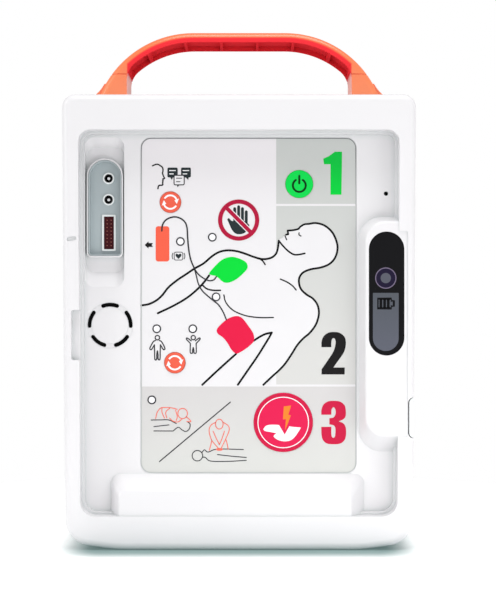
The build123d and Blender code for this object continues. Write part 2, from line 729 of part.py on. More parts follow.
def board_components():
    """Processor, memory, driver chips and small capacitors on the main board."""
    sizes = (
        (-20.0, 92.0, 20.0, 20.0, 1.6), (12.0, 96.0, 12.0, 12.0, 1.4), (34.0, 92.0, 14.0, 9.0, 1.4),
        (-44.0, 92.0, 10.0, 14.0, 2.2), (52.0, 92.0, 9.0, 9.0, 3.0), (0.0, 56.0, 30.0, 8.0, 3.4),
        (-34.0, 56.0, 14.0, 8.0, 4.0), (36.0, 56.0, 14.0, 8.0, 4.0), (8.0, 128.0, 10.0, 10.0, 2.0),
    )
    return [
        slab(plain(x - width / 2, x + width / 2, z - height / 2, z + height / 2), MAIN_BACK, MAIN_BACK + tall)
        for x, z, width, height, tall in sizes
    ]


def hv_capacitor():
    body = lying(-4, 60, 222, 20, 88)
    body = fillet(body.edges().filter_by(GeomType.CIRCLE), 2.0)
    return body + lying(43, 52, 222, 3, 8) + lying(43, 68, 222, 3, 8)


def capacitor_clamps():
    clamps = []
    for x in (-30.0, 22.0):
        band = lying(x, 60, 222, 21.5, 10) - lying(x, 60, 222, 20, 12)
        feet = Pos(x, FRONT + 83.4, 222) * Box(10, 2, 62)
        stem = Pos(x, FRONT + 82, 222) * Box(10, 3, 14) - lying(x, 60, 222, 20.6, 12)
        clamps.append(band + stem + feet)
    return clamps


def transformer_core():
    core = slab(plain(24.0, 60.0, 150.0, 184.0), MAIN_BACK, 62.0)
    for left in (29.0, 47.0):
        core = core - slab(plain(left, left + 8.0, 149.0, 185.0), 40.0, 56.0)
    return core


def transformer_coil():
    outer = slab(rounded(29.0, 55.0, 142.5, 191.5, 4.0), 40.0, 56.0)
    return outer - slab(plain(37.0, 47.0, 150.0, 184.0), 39.0, 57.0)


def heat_sink():
    sink = slab(plain(-52.0, -8.0, 118.0, 176.0), MAIN_BACK + 4, MAIN_BACK + 7)
    for index in range(8):
        left = -52.0 + index * (44.0 - 1.4) / 7
        sink = sink + slab(plain(left, left + 1.4, 118.0, 176.0), MAIN_BACK + 6.5, 58.0)
    return sink


def power_transistors():
    return [
        slab(plain(x - 7, x + 7, z - 9, z + 9), MAIN_BACK, MAIN_BACK + 4)
        for x in (-43.0, -17.0) for z in (132.0, 161.0)
    ]


def transfer_relay():
    return slab(rounded(-50.0, -22.0, 182.0, 199.0, 1.0), MAIN_BACK, 50.0)


def coin_cell():
    return disc(50.0, 122.0, 10.0, MAIN_BACK + 1, MAIN_BACK + 4.2)


def coin_cell_holder():
    ring = disc(50.0, 122.0, 11.5, MAIN_BACK, MAIN_BACK + 3.4)
    return ring - disc(50.0, 122.0, 10.0, MAIN_BACK + 1, MAIN_BACK + 5)


# ------------------------------------------------------------------------------ battery
def contact_places():
    return [-12.0, 0.0, 12.0]


def battery_contacts():
    block = slab(plain(-18.0, 18.0, 66.0, 76.0), MAIN_BACK, BAY_FLOOR)
    blades = [slab(plain(x - 0.5, x + 0.5, 67.5, 74.5), BAY_FLOOR - 1, BAY_FLOOR + 6) for x in contact_places()]
    return joined([block] + blades)


def battery_outline(inset):
    gap = BATTERY_GAP + inset
    return rounded(-BAY_HALF_WIDTH + gap, BAY_HALF_WIDTH - gap, BAY_BOTTOM + gap, BAY_TOP - gap, 2.6)


def battery_case():
    near = BAY_FLOOR + BATTERY_GAP
    far = BACK_FACE - 0.3
    pack = slab(battery_outline(0), near, far)
    pack = chamfer(pack.edges().group_by(Axis.Y)[-1], 0.8)
    pack = pack - slab(battery_outline(1.8), near + 9.5, far - 9.0)
    for x in contact_places():
        pack = pack - slab(plain(x - 1.6, x + 1.6, 66.0, 76.0), near - 1, near + 8)
    pack = pack - slab(rounded(-17.0, 17.0, 88.0, 101.0, 5.0), far - 6.5, far + 1)
    pack = pack - slab(plain(-9.0, 9.0, BAY_TOP - 4.0, BAY_TOP), 76.6, 81.0)
    for index in range(5):
        bottom = 50.0 + index * 5.0
        pack = pack - slab(rounded(-30.0, 30.0, bottom, bottom + 2.2, 1.0), far - 0.8, far + 1)
    return pack


def battery_terminals():
    near = BAY_FLOOR + BATTERY_GAP
    return [slab(plain(x + 1.1, x + 1.6, 67.0, 75.0), near + 0.5, near + 8) for x in contact_places()]


def battery_cells():
    cells = []
    for row in range(3):
        for column in range(3):
            place = Pos((column - 1) * 35.2, FRONT + 69.0, 73.0 + (row - 1) * 17.8)
            cells.append(place * Rot(0, 90, 0) * Cylinder(8.4, 34.4))
    return cells


def battery_latch():
    """Spring-loaded slide above the battery; its nose closes over the battery's top edge."""
    pad = slab(rounded(-13.2, 13.2, 112.2, 125.0, 2.6), 84.9, BACK_FACE - 0.2)
    for index in range(4):
        bottom = 114.6 + index * 2.4
        pad = pad - slab(plain(-9.0, 9.0, bottom, bottom + 1.0), BACK_FACE - 0.9, DEPTH)
    stem = slab(plain(-2.5, 2.5, 116.0, 121.0), 79.6, 85.0)
    tongue = slab(plain(-8.0, 8.0, BAY_TOP - BATTERY_GAP + LATCH_CLEARANCE, 122.0), 77.5, 80.2)
    return pad + stem + tongue


# ------------------------------------------------------------------------------ write the pieces
def nodes():
    makers = (
        front_case, rear_case, case_gasket, case_screws, back_feet, rear_label,
        handle_grip, handle_screws, control_overlay, indicator_lenses,
        key_switches, keypad_board, indicator_leds, board_posts, board_screws,
        status_window, lcd_module, status_led, status_board,
        electrode_socket, socket_bezels, jack_sleeves, jack_pins, header_block, header_pins, electrode_leads,
        speaker_frame, speaker_cone, speaker_magnet, speaker_mesh, speaker_leads, microphone, microphone_boot,
        port_cover, port_hinge_pin, data_port,
        main_board, board_components, hv_capacitor, capacitor_clamps, transformer_core, transformer_coil,
        heat_sink, power_transistors, transfer_relay, coin_cell, coin_cell_holder,
        battery_contacts, battery_case, battery_terminals, battery_cells, battery_latch,
    )
    pieces = {maker.__name__: maker() for maker in makers}
    pieces["handle_base_left"] = handle_base(-1)
    pieces["handle_base_right"] = handle_base(1)
    for name, (x, z, radius) in KEYS.items():
        pieces[name] = key(x, z, radius)
    return pieces


os.makedirs("parts", exist_ok=True)
for name, piece in nodes().items():
    solids = []
    for item in piece if isinstance(piece, list) else [piece]:
        solids.extend(item.solids())
    shape = solids[0] if len(solids) == 1 else Compound(children=solids)
    export_step(shape, f"parts/{name}.step")
    print(name, len(solids), round(sum(solid.volume for solid in solids), 1))
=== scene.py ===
"""Looks of the defibrillator: camera, soft studio, materials, printed panel art, window display."""
import json
import math

import bmesh
import bpy
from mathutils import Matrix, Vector
from mathutils.geometry import tessellate_polygon


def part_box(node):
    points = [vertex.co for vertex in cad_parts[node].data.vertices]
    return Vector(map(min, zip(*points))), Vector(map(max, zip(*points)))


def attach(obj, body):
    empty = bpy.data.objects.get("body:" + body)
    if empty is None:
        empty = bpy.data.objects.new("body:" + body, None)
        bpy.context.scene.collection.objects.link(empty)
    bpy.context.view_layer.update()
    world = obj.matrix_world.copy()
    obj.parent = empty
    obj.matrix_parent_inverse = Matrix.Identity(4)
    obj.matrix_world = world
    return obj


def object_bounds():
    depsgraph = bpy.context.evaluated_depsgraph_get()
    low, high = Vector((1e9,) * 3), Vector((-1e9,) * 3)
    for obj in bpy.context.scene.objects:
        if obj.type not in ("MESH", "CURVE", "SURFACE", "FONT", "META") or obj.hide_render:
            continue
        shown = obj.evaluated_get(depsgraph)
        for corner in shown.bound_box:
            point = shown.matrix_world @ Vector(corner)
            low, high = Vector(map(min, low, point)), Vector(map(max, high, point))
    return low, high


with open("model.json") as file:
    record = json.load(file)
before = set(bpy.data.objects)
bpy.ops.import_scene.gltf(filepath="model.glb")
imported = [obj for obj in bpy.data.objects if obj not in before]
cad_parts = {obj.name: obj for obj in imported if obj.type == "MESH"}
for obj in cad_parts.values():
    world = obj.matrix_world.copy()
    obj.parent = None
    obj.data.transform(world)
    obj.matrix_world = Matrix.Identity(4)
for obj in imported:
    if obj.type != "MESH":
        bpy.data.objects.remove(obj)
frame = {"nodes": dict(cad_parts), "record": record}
cad_box = [list(corner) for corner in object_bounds()]

MM = 0.001
STEP = 0.03 * MM        # height of one layer of ink


# ------------------------------------------------------------------------------ where things are
def near_face(node):
    """How far forward a node reaches, as a y."""
    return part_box(node)[0].y


def centre(node):
    """Centre of a node seen from the front, in mm of x and z."""
    low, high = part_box(node)
    return (low.x + high.x) / 2 / MM, (low.z + high.z) / 2 / MM


PANEL = near_face("control_overlay")
WINDOW = near_face("status_window")
BEND_X = 0.0295                             # centres of the handle's two round shoulders
BEND_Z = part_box("handle_grip")[1].z - 0.065
BAND_REACH = 0.0613                         # where the grip's outside, painted orange as lit, meets its inside, painted coral as shaded
LEG_X = 0.0720
POCKET_RISE = 0.0026                        # how much nearer the outside the pockets' ceilings are
GRIP_WALL = 0.0026
TONE_EDGE = 0.0004                          # softness of the line between the painted lit and shaded tones

LENS = 88.65
CAMERA_X, CAMERA_Z = 0.0056, 0.1589
CAMERA_DISTANCE = 0.9


# ------------------------------------------------------------------------------ camera and light
def place_camera():
    camera = bpy.data.cameras.new("camera")
    camera.sensor_width = 36.0
    camera.lens = LENS
    camera.clip_end = 20.0
    view = bpy.data.objects.new("camera", camera)
    view.location = (CAMERA_X, cad_box[0][1] - CAMERA_DISTANCE, CAMERA_Z)
    view.rotation_euler = (math.radians(90), 0, 0)
    bpy.context.scene.collection.objects.link(view)
    bpy.context.scene.camera = view


def area_light(name, place, target, size, power, colour=(1, 1, 1)):
    lamp = bpy.data.lights.new(name, "AREA")
    lamp.shape = "RECTANGLE"
    lamp.size, lamp.size_y = size
    lamp.energy = power
    lamp.color = colour
    light = bpy.data.objects.new(name, lamp)
    light.location = place
    aim = Vector(target) - Vector(place)
    light.rotation_euler = aim.to_track_quat("-Z", "Y").to_euler()
    bpy.context.scene.collection.objects.link(light)


def light_studio():
    """White surroundings, dimmer overhead, soft boxes above and at both sides, and a low strip."""
    world = bpy.data.worlds.new("studio")
    bpy.context.scene.world = world
    world.use_nodes = True
    nodes, links = world.node_tree.nodes, world.node_tree.links
    place = nodes.new("ShaderNodeTexCoord")
    split = nodes.new("ShaderNodeSeparateXYZ")
    height = nodes.new("ShaderNodeMapRange")
    for socket, value in (("From Min", 0.22), ("From Max", 0.5), ("To Min", 1.0), ("To Max", 0.36)):
        height.inputs[socket].default_value = value
    height.interpolation_type = "SMOOTHSTEP"
    links.new(place.outputs["Generated"], split.inputs["Vector"])
    links.new(split.outputs["Z"], height.inputs["Value"])
    links.new(height.outputs["Result"], nodes["Background"].inputs["Strength"])
    nodes["Background"].inputs["Color"].default_value = (1.0, 1.0, 1.0, 1)
    middle = (0, 0, 0.16)
    area_light("key_light", (0.15, -0.35, 1.5), middle, (1.2, 0.7), 15.8)
    area_light("left_light", (-1.1, -0.5, 0.6), middle, (0.4, 0.9), 4.7)
    area_light("right_light", (0.5, -0.42, 0.22), (0.06, 0, 0.16), (0.3, 0.5), 0.55)
    area_light("low_light", (0.17, -0.36, 0.012), (0.05, 0, 0.05), (0.36, 0.03), 0.3)
    bpy.context.scene.view_settings.view_transform = "Standard"


# ------------------------------------------------------------------------------ materials
def new_material(name, colour, roughness):
    material = bpy.data.materials.new(name)
    material.use_nodes = True
    shader = material.node_tree.nodes["Principled BSDF"]
    shader.inputs["Base Color"].default_value = (*colour, 1)
    shader.inputs["Roughness"].default_value = roughness
    return material, shader


def worked(material, operation, *inputs):
    """Output of a maths node; an input is a number or another node's output."""
    node = material.node_tree.nodes.new("ShaderNodeMath")
    node.operation = operation
    for socket, value in zip(node.inputs, inputs):
        if isinstance(value, float):
            socket.default_value = value
        else:
            material.node_tree.links.new(value, socket)
    return node.outputs[0]


def smooth_step(material, value, low, high):
    """0 below low, 1 above high, and a soft change between them."""
    node = material.node_tree.nodes.new("ShaderNodeMapRange")
    node.interpolation_type = "SMOOTHSTEP"
    node.inputs["From Min"].default_value = low
    node.inputs["From Max"].default_value = high
    material.node_tree.links.new(value, node.inputs["Value"])
    return node.outputs["Result"]


def object_axes(material):
    """Separate x, y and z outputs of a place on the object."""
    nodes, links = material.node_tree.nodes, material.node_tree.links
    place = nodes.new("ShaderNodeTexCoord")
    split = nodes.new("ShaderNodeSeparateXYZ")
    links.new(place.outputs["Object"], split.inputs["Vector"])
    return split.outputs


def colour_blend(material, factor, first, second, target=None):
    """Mix from the first colour to the second, each a colour or another node's output."""
    links = material.node_tree.links
    blend = material.node_tree.nodes.new("ShaderNodeMix")
    blend.data_type = "RGBA"
    for socket, colour in ((blend.inputs["A"], first), (blend.inputs["B"], second)):
        if isinstance(colour, tuple):
            socket.default_value = (*colour, 1)
        else:
            links.new(colour, socket)
    links.new(factor, blend.inputs["Factor"])
    if target:
        links.new(blend.outputs["Result"], target)
    return blend.outputs["Result"]


def object_noise(material, scale, detail=3.0, stretch=(1, 1, 1)):
    """Noise fixed to the object, so it doesn't move with the view."""
    nodes, links = material.node_tree.nodes, material.node_tree.links
    place = nodes.new("ShaderNodeTexCoord")
    mapping = nodes.new("ShaderNodeMapping")
    mapping.inputs["Scale"].default_value = stretch
    noise = nodes.new("ShaderNodeTexNoise")
    noise.inputs["Scale"].default_value = scale
    noise.inputs["Detail"].default_value = detail
    links.new(place.outputs["Object"], mapping.inputs["Vector"])
    links.new(mapping.outputs["Vector"], noise.inputs["Vector"])
    return noise


def vary_roughness(material, shader, noise, low, high):
    spread = material.node_tree.nodes.new("ShaderNodeMapRange")
    spread.inputs["To Min"].default_value = low
    spread.inputs["To Max"].default_value = high
    material.node_tree.links.new(noise.outputs["Fac"], spread.inputs["Value"])
    material.node_tree.links.new(spread.outputs["Result"], shader.inputs["Roughness"])


def painted_crevice_shade(material, shader, dark, reach):
    """Painted shade where a surface is boxed in, as in grooves and inner corners."""
    found = material.node_tree.nodes.new("ShaderNodeAmbientOcclusion")
    found.inputs["Distance"].default_value = reach
    found.samples = 8
    base = shader.inputs["Base Color"]
    colour_blend(material, found.outputs["AO"], dark, base.links[0].from_socket, base)


def vary_colour(material, shader, noise, first, second):
    ramp = material.node_tree.nodes.new("ShaderNodeValToRGB")
    ramp.color_ramp.elements[0].position = 0.35
    ramp.color_ramp.elements[1].position = 0.65
    ramp.color_ramp.elements[0].color = (*first, 1)
    ramp.color_ramp.elements[1].color = (*second, 1)
    material.node_tree.links.new(noise.outputs["Fac"], ramp.inputs["Fac"])
    material.node_tree.links.new(ramp.outputs["Color"], shader.inputs["Base Color"])


def add_bump(material, shader, noise, strength, distance):
    bump = material.node_tree.nodes.new("ShaderNodeBump")
    bump.inputs["Strength"].default_value = strength
    bump.inputs["Distance"].default_value = distance
    material.node_tree.links.new(noise.outputs["Fac"], bump.inputs["Height"])
    material.node_tree.links.new(bump.outputs["Normal"], shader.inputs["Normal"])


def shade(colour, factor):
    return tuple(min(1.0, channel * factor) for channel in colour)


def moulded(name, colour, roughness=0.4, grain=2500.0, bump=0.12, specular=0.5, vary=0.03):
    """Injection-moulded plastic: fine surface grain, slight patchiness in gloss and colour."""
    material, shader = new_material(name, colour, roughness)
    shader.inputs["Specular IOR Level"].default_value = specular
    broad = object_noise(material, 18.0)
    vary_roughness(material, shader, broad, roughness - 0.05, roughness + 0.05)
    vary_colour(material, shader, broad, shade(colour, 1 - vary), shade(colour, 1 + vary))
    add_bump(material, shader, object_noise(material, grain, 2.0), bump, 0.00005)
    return material


def metal(name, colour, roughness=0.3, stretch=(1, 1, 40)):
    material, shader = new_material(name, colour, roughness)
    shader.inputs["Metallic"].default_value = 1.0
    brushed = object_noise(material, 400.0, 4.0, stretch)
    vary_roughness(material, shader, brushed, roughness - 0.1, roughness + 0.12)
    add_bump(material, shader, brushed, 0.1, 0.00003)
    return material


def ink(name, colour, roughness=0.5, specular=0.1):
    """Screen-printed ink: even, satin, with a trace of texture."""
    material, shader = new_material(name, colour, roughness)
    shader.inputs["Specular IOR Level"].default_value = specular
    fine = object_noise(material, 40.0, 2.0)
    vary_roughness(material, shader, fine, roughness - 0.06, roughness + 0.06)
    vary_colour(material, shader, fine, shade(colour, 0.99), shade(colour, 1.01))
    return material


def painted_shade_ink(name, upper, lower, from_z, to_z):
    """Ink whose tone changes evenly down the panel: painted light and shade, as light falls from above.
    """
    material = ink(name, upper)
    shader = material.node_tree.nodes["Principled BSDF"]
    fall = material.node_tree.nodes.new("ShaderNodeMapRange")
    fall.inputs["From Min"].default_value = from_z
    fall.inputs["From Max"].default_value = to_z
    material.node_tree.links.new(object_axes(material)["Z"], fall.inputs["Value"])
    colour_blend(material, fall.outputs["Result"], upper, lower, shader.inputs["Base Color"])
    return material


def clear(name, colour, roughness=0.08):
    material, shader = new_material(name, colour, roughness)
    shader.inputs["Transmission Weight"].default_value = 0.6
    shader.inputs["IOR"].default_value = 1.49
    vary_roughness(material, shader, object_noise(material, 60.0), roughness, roughness + 0.08)
    return material


def cloth(name, colour):
    material, shader = new_material(name, colour, 0.9)
    weave = object_noise(material, 3500.0, 1.0)
    vary_colour(material, shader, weave, shade(colour, 0.6), shade(colour, 1.5))
    add_bump(material, shader, weave, 0.6, 0.0001)
    return material


def white_plastic():
    material = moulded("white_case", srgb(215, 214, 216), 0.34, vary=0.006, bump=0.06)
    shader = material.node_tree.nodes["Principled BSDF"]
    # painted shade in the case's grooves, recesses and inner corners
    painted_crevice_shade(material, shader, srgb(198, 203, 203), 0.004)
    return material


def handle_plastic():
    """Glossy outside and matt inner band and pockets, with painted light: the lit outside painted
    orange and paler down the legs, the shaded inner band and pockets painted deeper coral.
    """
    # painted light: orange for the lit outside, peach for the legs painted paler, coral for the shaded
    # inside
    orange, painted_light_peach, coral = srgb(228, 112, 66), srgb(236, 132, 88), srgb(226, 50, 58)
    material, shader = new_material("coral_handle", coral, 0.42)
    axes = object_axes(material)
    aside = worked(material, "ABSOLUTE", axes["X"])
    past_bend = worked(material, "MAXIMUM", worked(material, "SUBTRACT", aside, BEND_X), 0.0)
    above_bend = worked(material, "SUBTRACT", axes["Z"], BEND_Z)
    squares = [worked(material, "MULTIPLY", side, side) for side in (past_bend, above_bend)]
    reach = worked(material, "SQRT", worked(material, "ADD", *squares))
    near, far = (corner.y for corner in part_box("handle_grip"))
    off_middle = worked(material, "ABSOLUTE", worked(material, "SUBTRACT", axes["Y"], (near + far) / 2))
    wall = (far - near) / 2 - GRIP_WALL
    at_wall = smooth_step(material, off_middle, wall - TONE_EDGE / 2, wall + TONE_EDGE / 2)
    level = worked(material, "MULTIPLY_ADD", at_wall, POCKET_RISE, reach)
    edge = BAND_REACH + POCKET_RISE
    outer_band = smooth_step(material, level, edge - 1.5 * TONE_EDGE, edge + 3 * TONE_EDGE)
    leg = smooth_step(material, aside, LEG_X - 2 * TONE_EDGE, LEG_X + TONE_EDGE)
    # painted light and shade: the outer band and the legs take the lit tones, the rest the shaded coral
    lit_and_glossy = worked(material, "MAXIMUM", outer_band, leg)
    # painted highlight: paler peach low on the legs, orange higher up
    height = smooth_step(material, axes["Z"], BEND_Z + 0.02, BEND_Z + 0.06)
    outside = colour_blend(material, height, painted_light_peach, orange)
    colour_blend(material, lit_and_glossy, coral, outside, shader.inputs["Base Color"])
    specular = worked(material, "MULTIPLY", lit_and_glossy, 0.5)
    material.node_tree.links.new(specular, shader.inputs["Specular IOR Level"])
    vary_roughness(material, shader, object_noise(material, 18.0), 0.26, 0.34)
    add_bump(material, shader, object_noise(material, 2500.0, 2.0), 0.05, 0.00005)
    # painted shade in the handle's pockets and inner corners
    painted_crevice_shade(material, shader, srgb(214, 42, 52), 0.004)
    return material


def srgb(red, green, blue):
    """Linear colour from 8-bit display values."""
    def linear(value):
        value = value / 255
        return value / 12.92 if value <= 0.04045 else ((value + 0.055) / 1.055) ** 2.4
    return linear(red), linear(green), linear(blue)


BLACK = (0.005, 0.005, 0.006)


def slot_materials():
    """One material for each of the record's slots."""
    return {
        "white_case": white_plastic(),
        "coral_handle": handle_plastic(),
        "grey_socket": moulded("grey_socket", srgb(166, 176, 179), 0.45, specular=0.3),
        "light_trim": moulded("light_trim", srgb(222, 226, 226), 0.4),
        # painted shade: the film's tone changes evenly down the panel
        "overlay_film": painted_shade_ink("overlay_film", srgb(215, 212, 215), srgb(213, 212, 214), 0.250, 0.195),
        "clear_lens": clear("clear_lens", srgb(250, 250, 250)),
        "smoked_window": moulded("smoked_window", BLACK, 0.2, specular=0.08, bump=0.0),
        "green_key": ink("green_key", srgb(10, 200, 74), 0.45),
        "red_key": ink("red_key", srgb(206, 26, 74), 0.42),
        "coral_key": ink("coral_key", srgb(216, 90, 70), 0.45),
        "black_plastic": moulded("black_plastic", BLACK, 0.5, specular=0.12),
        "dark_red_plastic": moulded("dark_red_plastic", srgb(66, 14, 22), 0.5, specular=0.15),
        "rubber": moulded("rubber", (0.02, 0.02, 0.022), 0.8, grain=1200.0, bump=0.4),
        "steel": metal("steel", (0.72, 0.73, 0.75)),
        "gold_contact": metal("gold_contact", (0.85, 0.66, 0.32), 0.25),
        "board_green": moulded("board_green", (0.02, 0.16, 0.07), 0.35, vary=0.3),
        "component_black": moulded("component_black", (0.02, 0.02, 0.023), 0.55),
        "aluminium": metal("aluminium", (0.78, 0.79, 0.8), 0.35),
        "copper_winding": metal("copper_winding", (0.72, 0.32, 0.16), 0.35, (40, 1, 1)),
        "ferrite": moulded("ferrite", (0.04, 0.04, 0.045), 0.6, grain=900.0),
        "capacitor_film": moulded("capacitor_film", (0.75, 0.55, 0.1), 0.35),
        "battery_plastic": moulded("battery_plastic", srgb(92, 97, 102), 0.5, grain=1800.0, bump=0.3),
        "cell_wrap": moulded("cell_wrap", (0.05, 0.13, 0.35), 0.3),
        "label_film": moulded("label_film", srgb(214, 218, 222), 0.35),
        "cloth": cloth("cloth", (0.012, 0.012, 0.013)),
        "wire_red": moulded("wire_red", (0.4, 0.02, 0.02), 0.5),
        "latch_grey": moulded("latch_grey", srgb(128, 134, 140), 0.5, bump=0.25),
    }


def own_materials():
    """Nodes that look different from the rest of their slot."""
    # painted shade: the microphone and speaker mesh are made near black, like the shade inside their
    # openings
    dark = moulded("opening_painted_shade", (0.004, 0.004, 0.004), 0.8, specular=0.05)
    return {
        "microphone": dark,
        "header_pins": metal("rose_pins", (0.3, 0.1, 0.08), 0.4),
        "speaker_mesh": dark,
    }


def dress_nodes(materials):
    slots = {part["node"]: part["material_slot"] for part in frame["record"]["subparts"]}
    own = own_materials()
    for name, node in frame["nodes"].items():
        node.data.materials.clear()
        node.data.materials.append(own.get(name) or materials[slots[name]])


# ------------------------------------------------------------------------------ flat outlines
def circle(x, z, radius, count=64):
    turn = 2 * math.pi / count
    return [(x + radius * math.cos(i * turn), z + radius * math.sin(i * turn)) for i in range(count)]


def oval(x, z, half_width, half_height, tilt=0.0, count=48):
    lean = math.radians(tilt)
    loop = []
    for i in range(count):
        across = half_width * math.cos(2 * math.pi * i / count)
        up = half_height * math.sin(2 * math.pi * i / count)
        loop.append((x + across * math.cos(lean) - up * math.sin(lean),
                     z + across * math.sin(lean) + up * math.cos(lean)))
    return loop


def bend(x, z, radius, start, end, count=24):
    """Points on an arc, in degrees from +x."""
    step = math.radians(end - start) / count
    first = math.radians(start)
    return [(x + radius * math.cos(first + i * step), z + radius * math.sin(first + i * step))
            for i in range(count + 1)]


def rounded(left, right, bottom, top, radii):
    """Rectangle whose corner radii run bottom left, bottom right, top right, top left."""
    low_left, low_right, up_right, up_left = radii
    return (bend(left + low_left, bottom + low_left, low_left, 180, 270, 8)
            + bend(right - low_right, bottom + low_right, low_right, 270, 360, 8)
            + bend(right - up_right, top - up_right, up_right, 0, 90, 8)
            + bend(left + up_left, top - up_left, up_left, 90, 180, 8))


def split_runs(points):
    """Smooth runs of a list of points, where a point given twice is a sharp corner."""
    runs, run = [], [points[0]]
    for before, here in zip(points, points[1:]):
        if here == before:
            runs.append(run)
            run = [here]
        else:
            run.append(here)
    runs.append(run)
    return runs


def through(points, closed=False, steps=6):
    """Smooth curve through given points, with sharp corners at points given twice."""
    runs = split_runs(points)
    if closed and len(runs) == 1:
        return loop_through(runs[0], steps)
    if closed:
        runs[-1].append(points[0])
    curve = []
    for run in runs:
        curve.extend(open_through(run, steps)[:-1])
    if not closed:
        curve.append(points[-1])
    return curve


def catmull(before, start, end, after, share):
    """Point on the smooth span from start to end."""
    square, cube = share * share, share ** 3
    return tuple(
        0.5 * (2 * s + (e - b) * share + (2 * b - 5 * s + 4 * e - a) * square
               + (3 * s - b - 3 * e + a) * cube)
        for b, s, e, a in zip(before, start, end, after))


def open_through(run, steps):
    if len(run) < 3:
        return list(run)
    ghost_start = tuple(2 * a - b for a, b in zip(run[0], run[1]))
    ghost_end = tuple(2 * a - b for a, b in zip(run[-1], run[-2]))
    knots = [ghost_start] + list(run) + [ghost_end]
    curve = []
    for i in range(1, len(knots) - 2):
        curve.extend(catmull(*knots[i - 1:i + 3], j / steps) for j in range(steps))
    curve.append(run[-1])
    return curve


def loop_through(run, steps):
    count = len(run)
    curve = []
    for i in range(count):
        span = [run[(i + k) % count] for k in (-1, 0, 1, 2)]
        curve.extend(catmull(*span, j / steps) for j in range(steps))
    return curve


def side_step(points, index, closed):
    """Unit normal of a line at one of its points."""
    count = len(points)
    before = points[(index - 1) % count] if closed or index > 0 else points[index]
    after = points[(index + 1) % count] if closed or index < count - 1 else points[index]
    along = Vector((after[0] - before[0], after[1] - before[1]))
    along.normalize()
    return -along.y, along.x


def stroke(points, width, closed=False):
    """Outline of a line of even width with round ends, or the two edges of a closed one."""
    half = width / 2
    normals = [side_step(points, i, closed) for i in range(len(points))]
    left = [(p[0] + n[0] * half, p[1] + n[1] * half) for p, n in zip(points, normals)]
    right = [(p[0] - n[0] * half, p[1] - n[1] * half) for p, n in zip(points, normals)]
    if closed:
        return [left, right]
    end_angle = math.degrees(math.atan2(normals[-1][1], normals[-1][0]))
    start_angle = math.degrees(math.atan2(-normals[0][1], -normals[0][0]))
    end_cap = bend(*points[-1], half, end_angle, end_angle - 180, 8)
    start_cap = bend(*points[0], half, start_angle, start_angle - 180, 8)
    return [left[:-1] + end_cap + right[::-1][1:-1] + start_cap[:-1]]


def line(points, width=1.0):
    return stroke(through(points), width)


def lines(points, width):
    """One stroke for each smooth run between the sharp corners of a line."""
    return [line(run, width) for run in split_runs(points) if len(run) > 1]


# ------------------------------------------------------------------------------ thin plates
def plates(name, shapes, front, back, material, body):
    """One piece made of closed plates that face forward; each shape is an outline and its holes."""
    mesh = bmesh.new()
    for loops in shapes:
        flat = [point for loop in loops for point in loop]
        near = [mesh.verts.new((x * MM, front, z * MM)) for x, z in flat]
        far = [mesh.verts.new((x * MM, back, z * MM)) for x, z in flat]
        for corners in tessellate_polygon([[Vector((x, z, 0)) for x, z in loop] for loop in loops]):
            mesh.faces.new([near[i] for i in corners])
            mesh.faces.new([far[i] for i in reversed(corners)])
        first = 0
        for loop in loops:
            count = len(loop)
            for i in range(count):
                a, b = first + i, first + (i + 1) % count
                mesh.faces.new((near[a], near[b], far[b], far[a]))
            first += count
    bmesh.ops.recalc_face_normals(mesh, faces=mesh.faces)
    data = bpy.data.meshes.new(name)
    mesh.to_mesh(data)
    mesh.free()
    piece = bpy.data.objects.new(name, data)
    bpy.context.scene.collection.objects.link(piece)
    data.materials.append(material)
    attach(piece, body)
    return piece


def panel_print(name, shapes, level, material):
    return plates(name, shapes, PANEL - level * STEP, PANEL, material, "housing")


def key_print(name, key, shapes, level, material):
    face = near_face(key)
    return plates(name, shapes, face - level * STEP, face, material, key)


def window_print(name, shapes, level, material):
    return plates(name, shapes, WINDOW - level * STEP, WINDOW, material, "housing")


# ------------------------------------------------------------------------------ printed zones
FILM_CORNER = 6.28
SHARP = 0.01                                # radius of a corner that looks sharp
ZONE_LEFT = 23.4
LOWER_TOP = 100.9
MIDDLE_BOTTOM = 102.2
MIDDLE_TOP = 214.7
UPPER_BOTTOM = 216.0


def key_hole(key):
    """Ring just outside the part of a key that stands proud, so a pressed key still shows."""
    x, z = centre(key)
    proud = [vertex.co for vertex in frame["nodes"][key].data.vertices if vertex.co.y < PANEL]
    radius = max(math.hypot(co.x / MM - x, co.z / MM - z) for co in proud)
    return circle(x, z, radius + 0.15, 128)


def print_zones(inks):
    """Dark rim of the film, a printed border that is also the painted shadow of its edge, and its three
    grey zones with painted shade.
    """
    low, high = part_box("control_overlay")
    edge, border = 0.12, 0.45
    left, right = low.x / MM + edge, high.x / MM - edge
    bottom, top = low.z / MM + edge, high.z / MM - edge
    turn = FILM_CORNER - border
    margin = [[rounded(left, right, bottom, top, (FILM_CORNER,) * 4),
               rounded(left + border, right - border, bottom + border, top - border, (turn,) * 4)]]
    # painted shadow: the dark rim stands in for the shade at the film's edge, darker along the top
    panel_print("film_edge_shadow", margin, 7, inks["edge_shadow_grey"])
    upper = rounded(ZONE_LEFT, right, UPPER_BOTTOM, top, (SHARP, SHARP, FILM_CORNER, SHARP))
    middle = rounded(ZONE_LEFT, right, MIDDLE_BOTTOM, MIDDLE_TOP, (SHARP,) * 4)
    lower = rounded(left, right, bottom, LOWER_TOP, (FILM_CORNER, FILM_CORNER, SHARP, SHARP))
    panel_print("print_zone_upper", [[upper, key_hole("power_button")]], 1, inks["grey_zone"])
    panel_print("print_zone_middle", [[middle]], 1, inks["grey_zone"])
    panel_print("print_zone_lower", [[lower, key_hole("shock_button")]], 1, inks["grey_zone_low"])


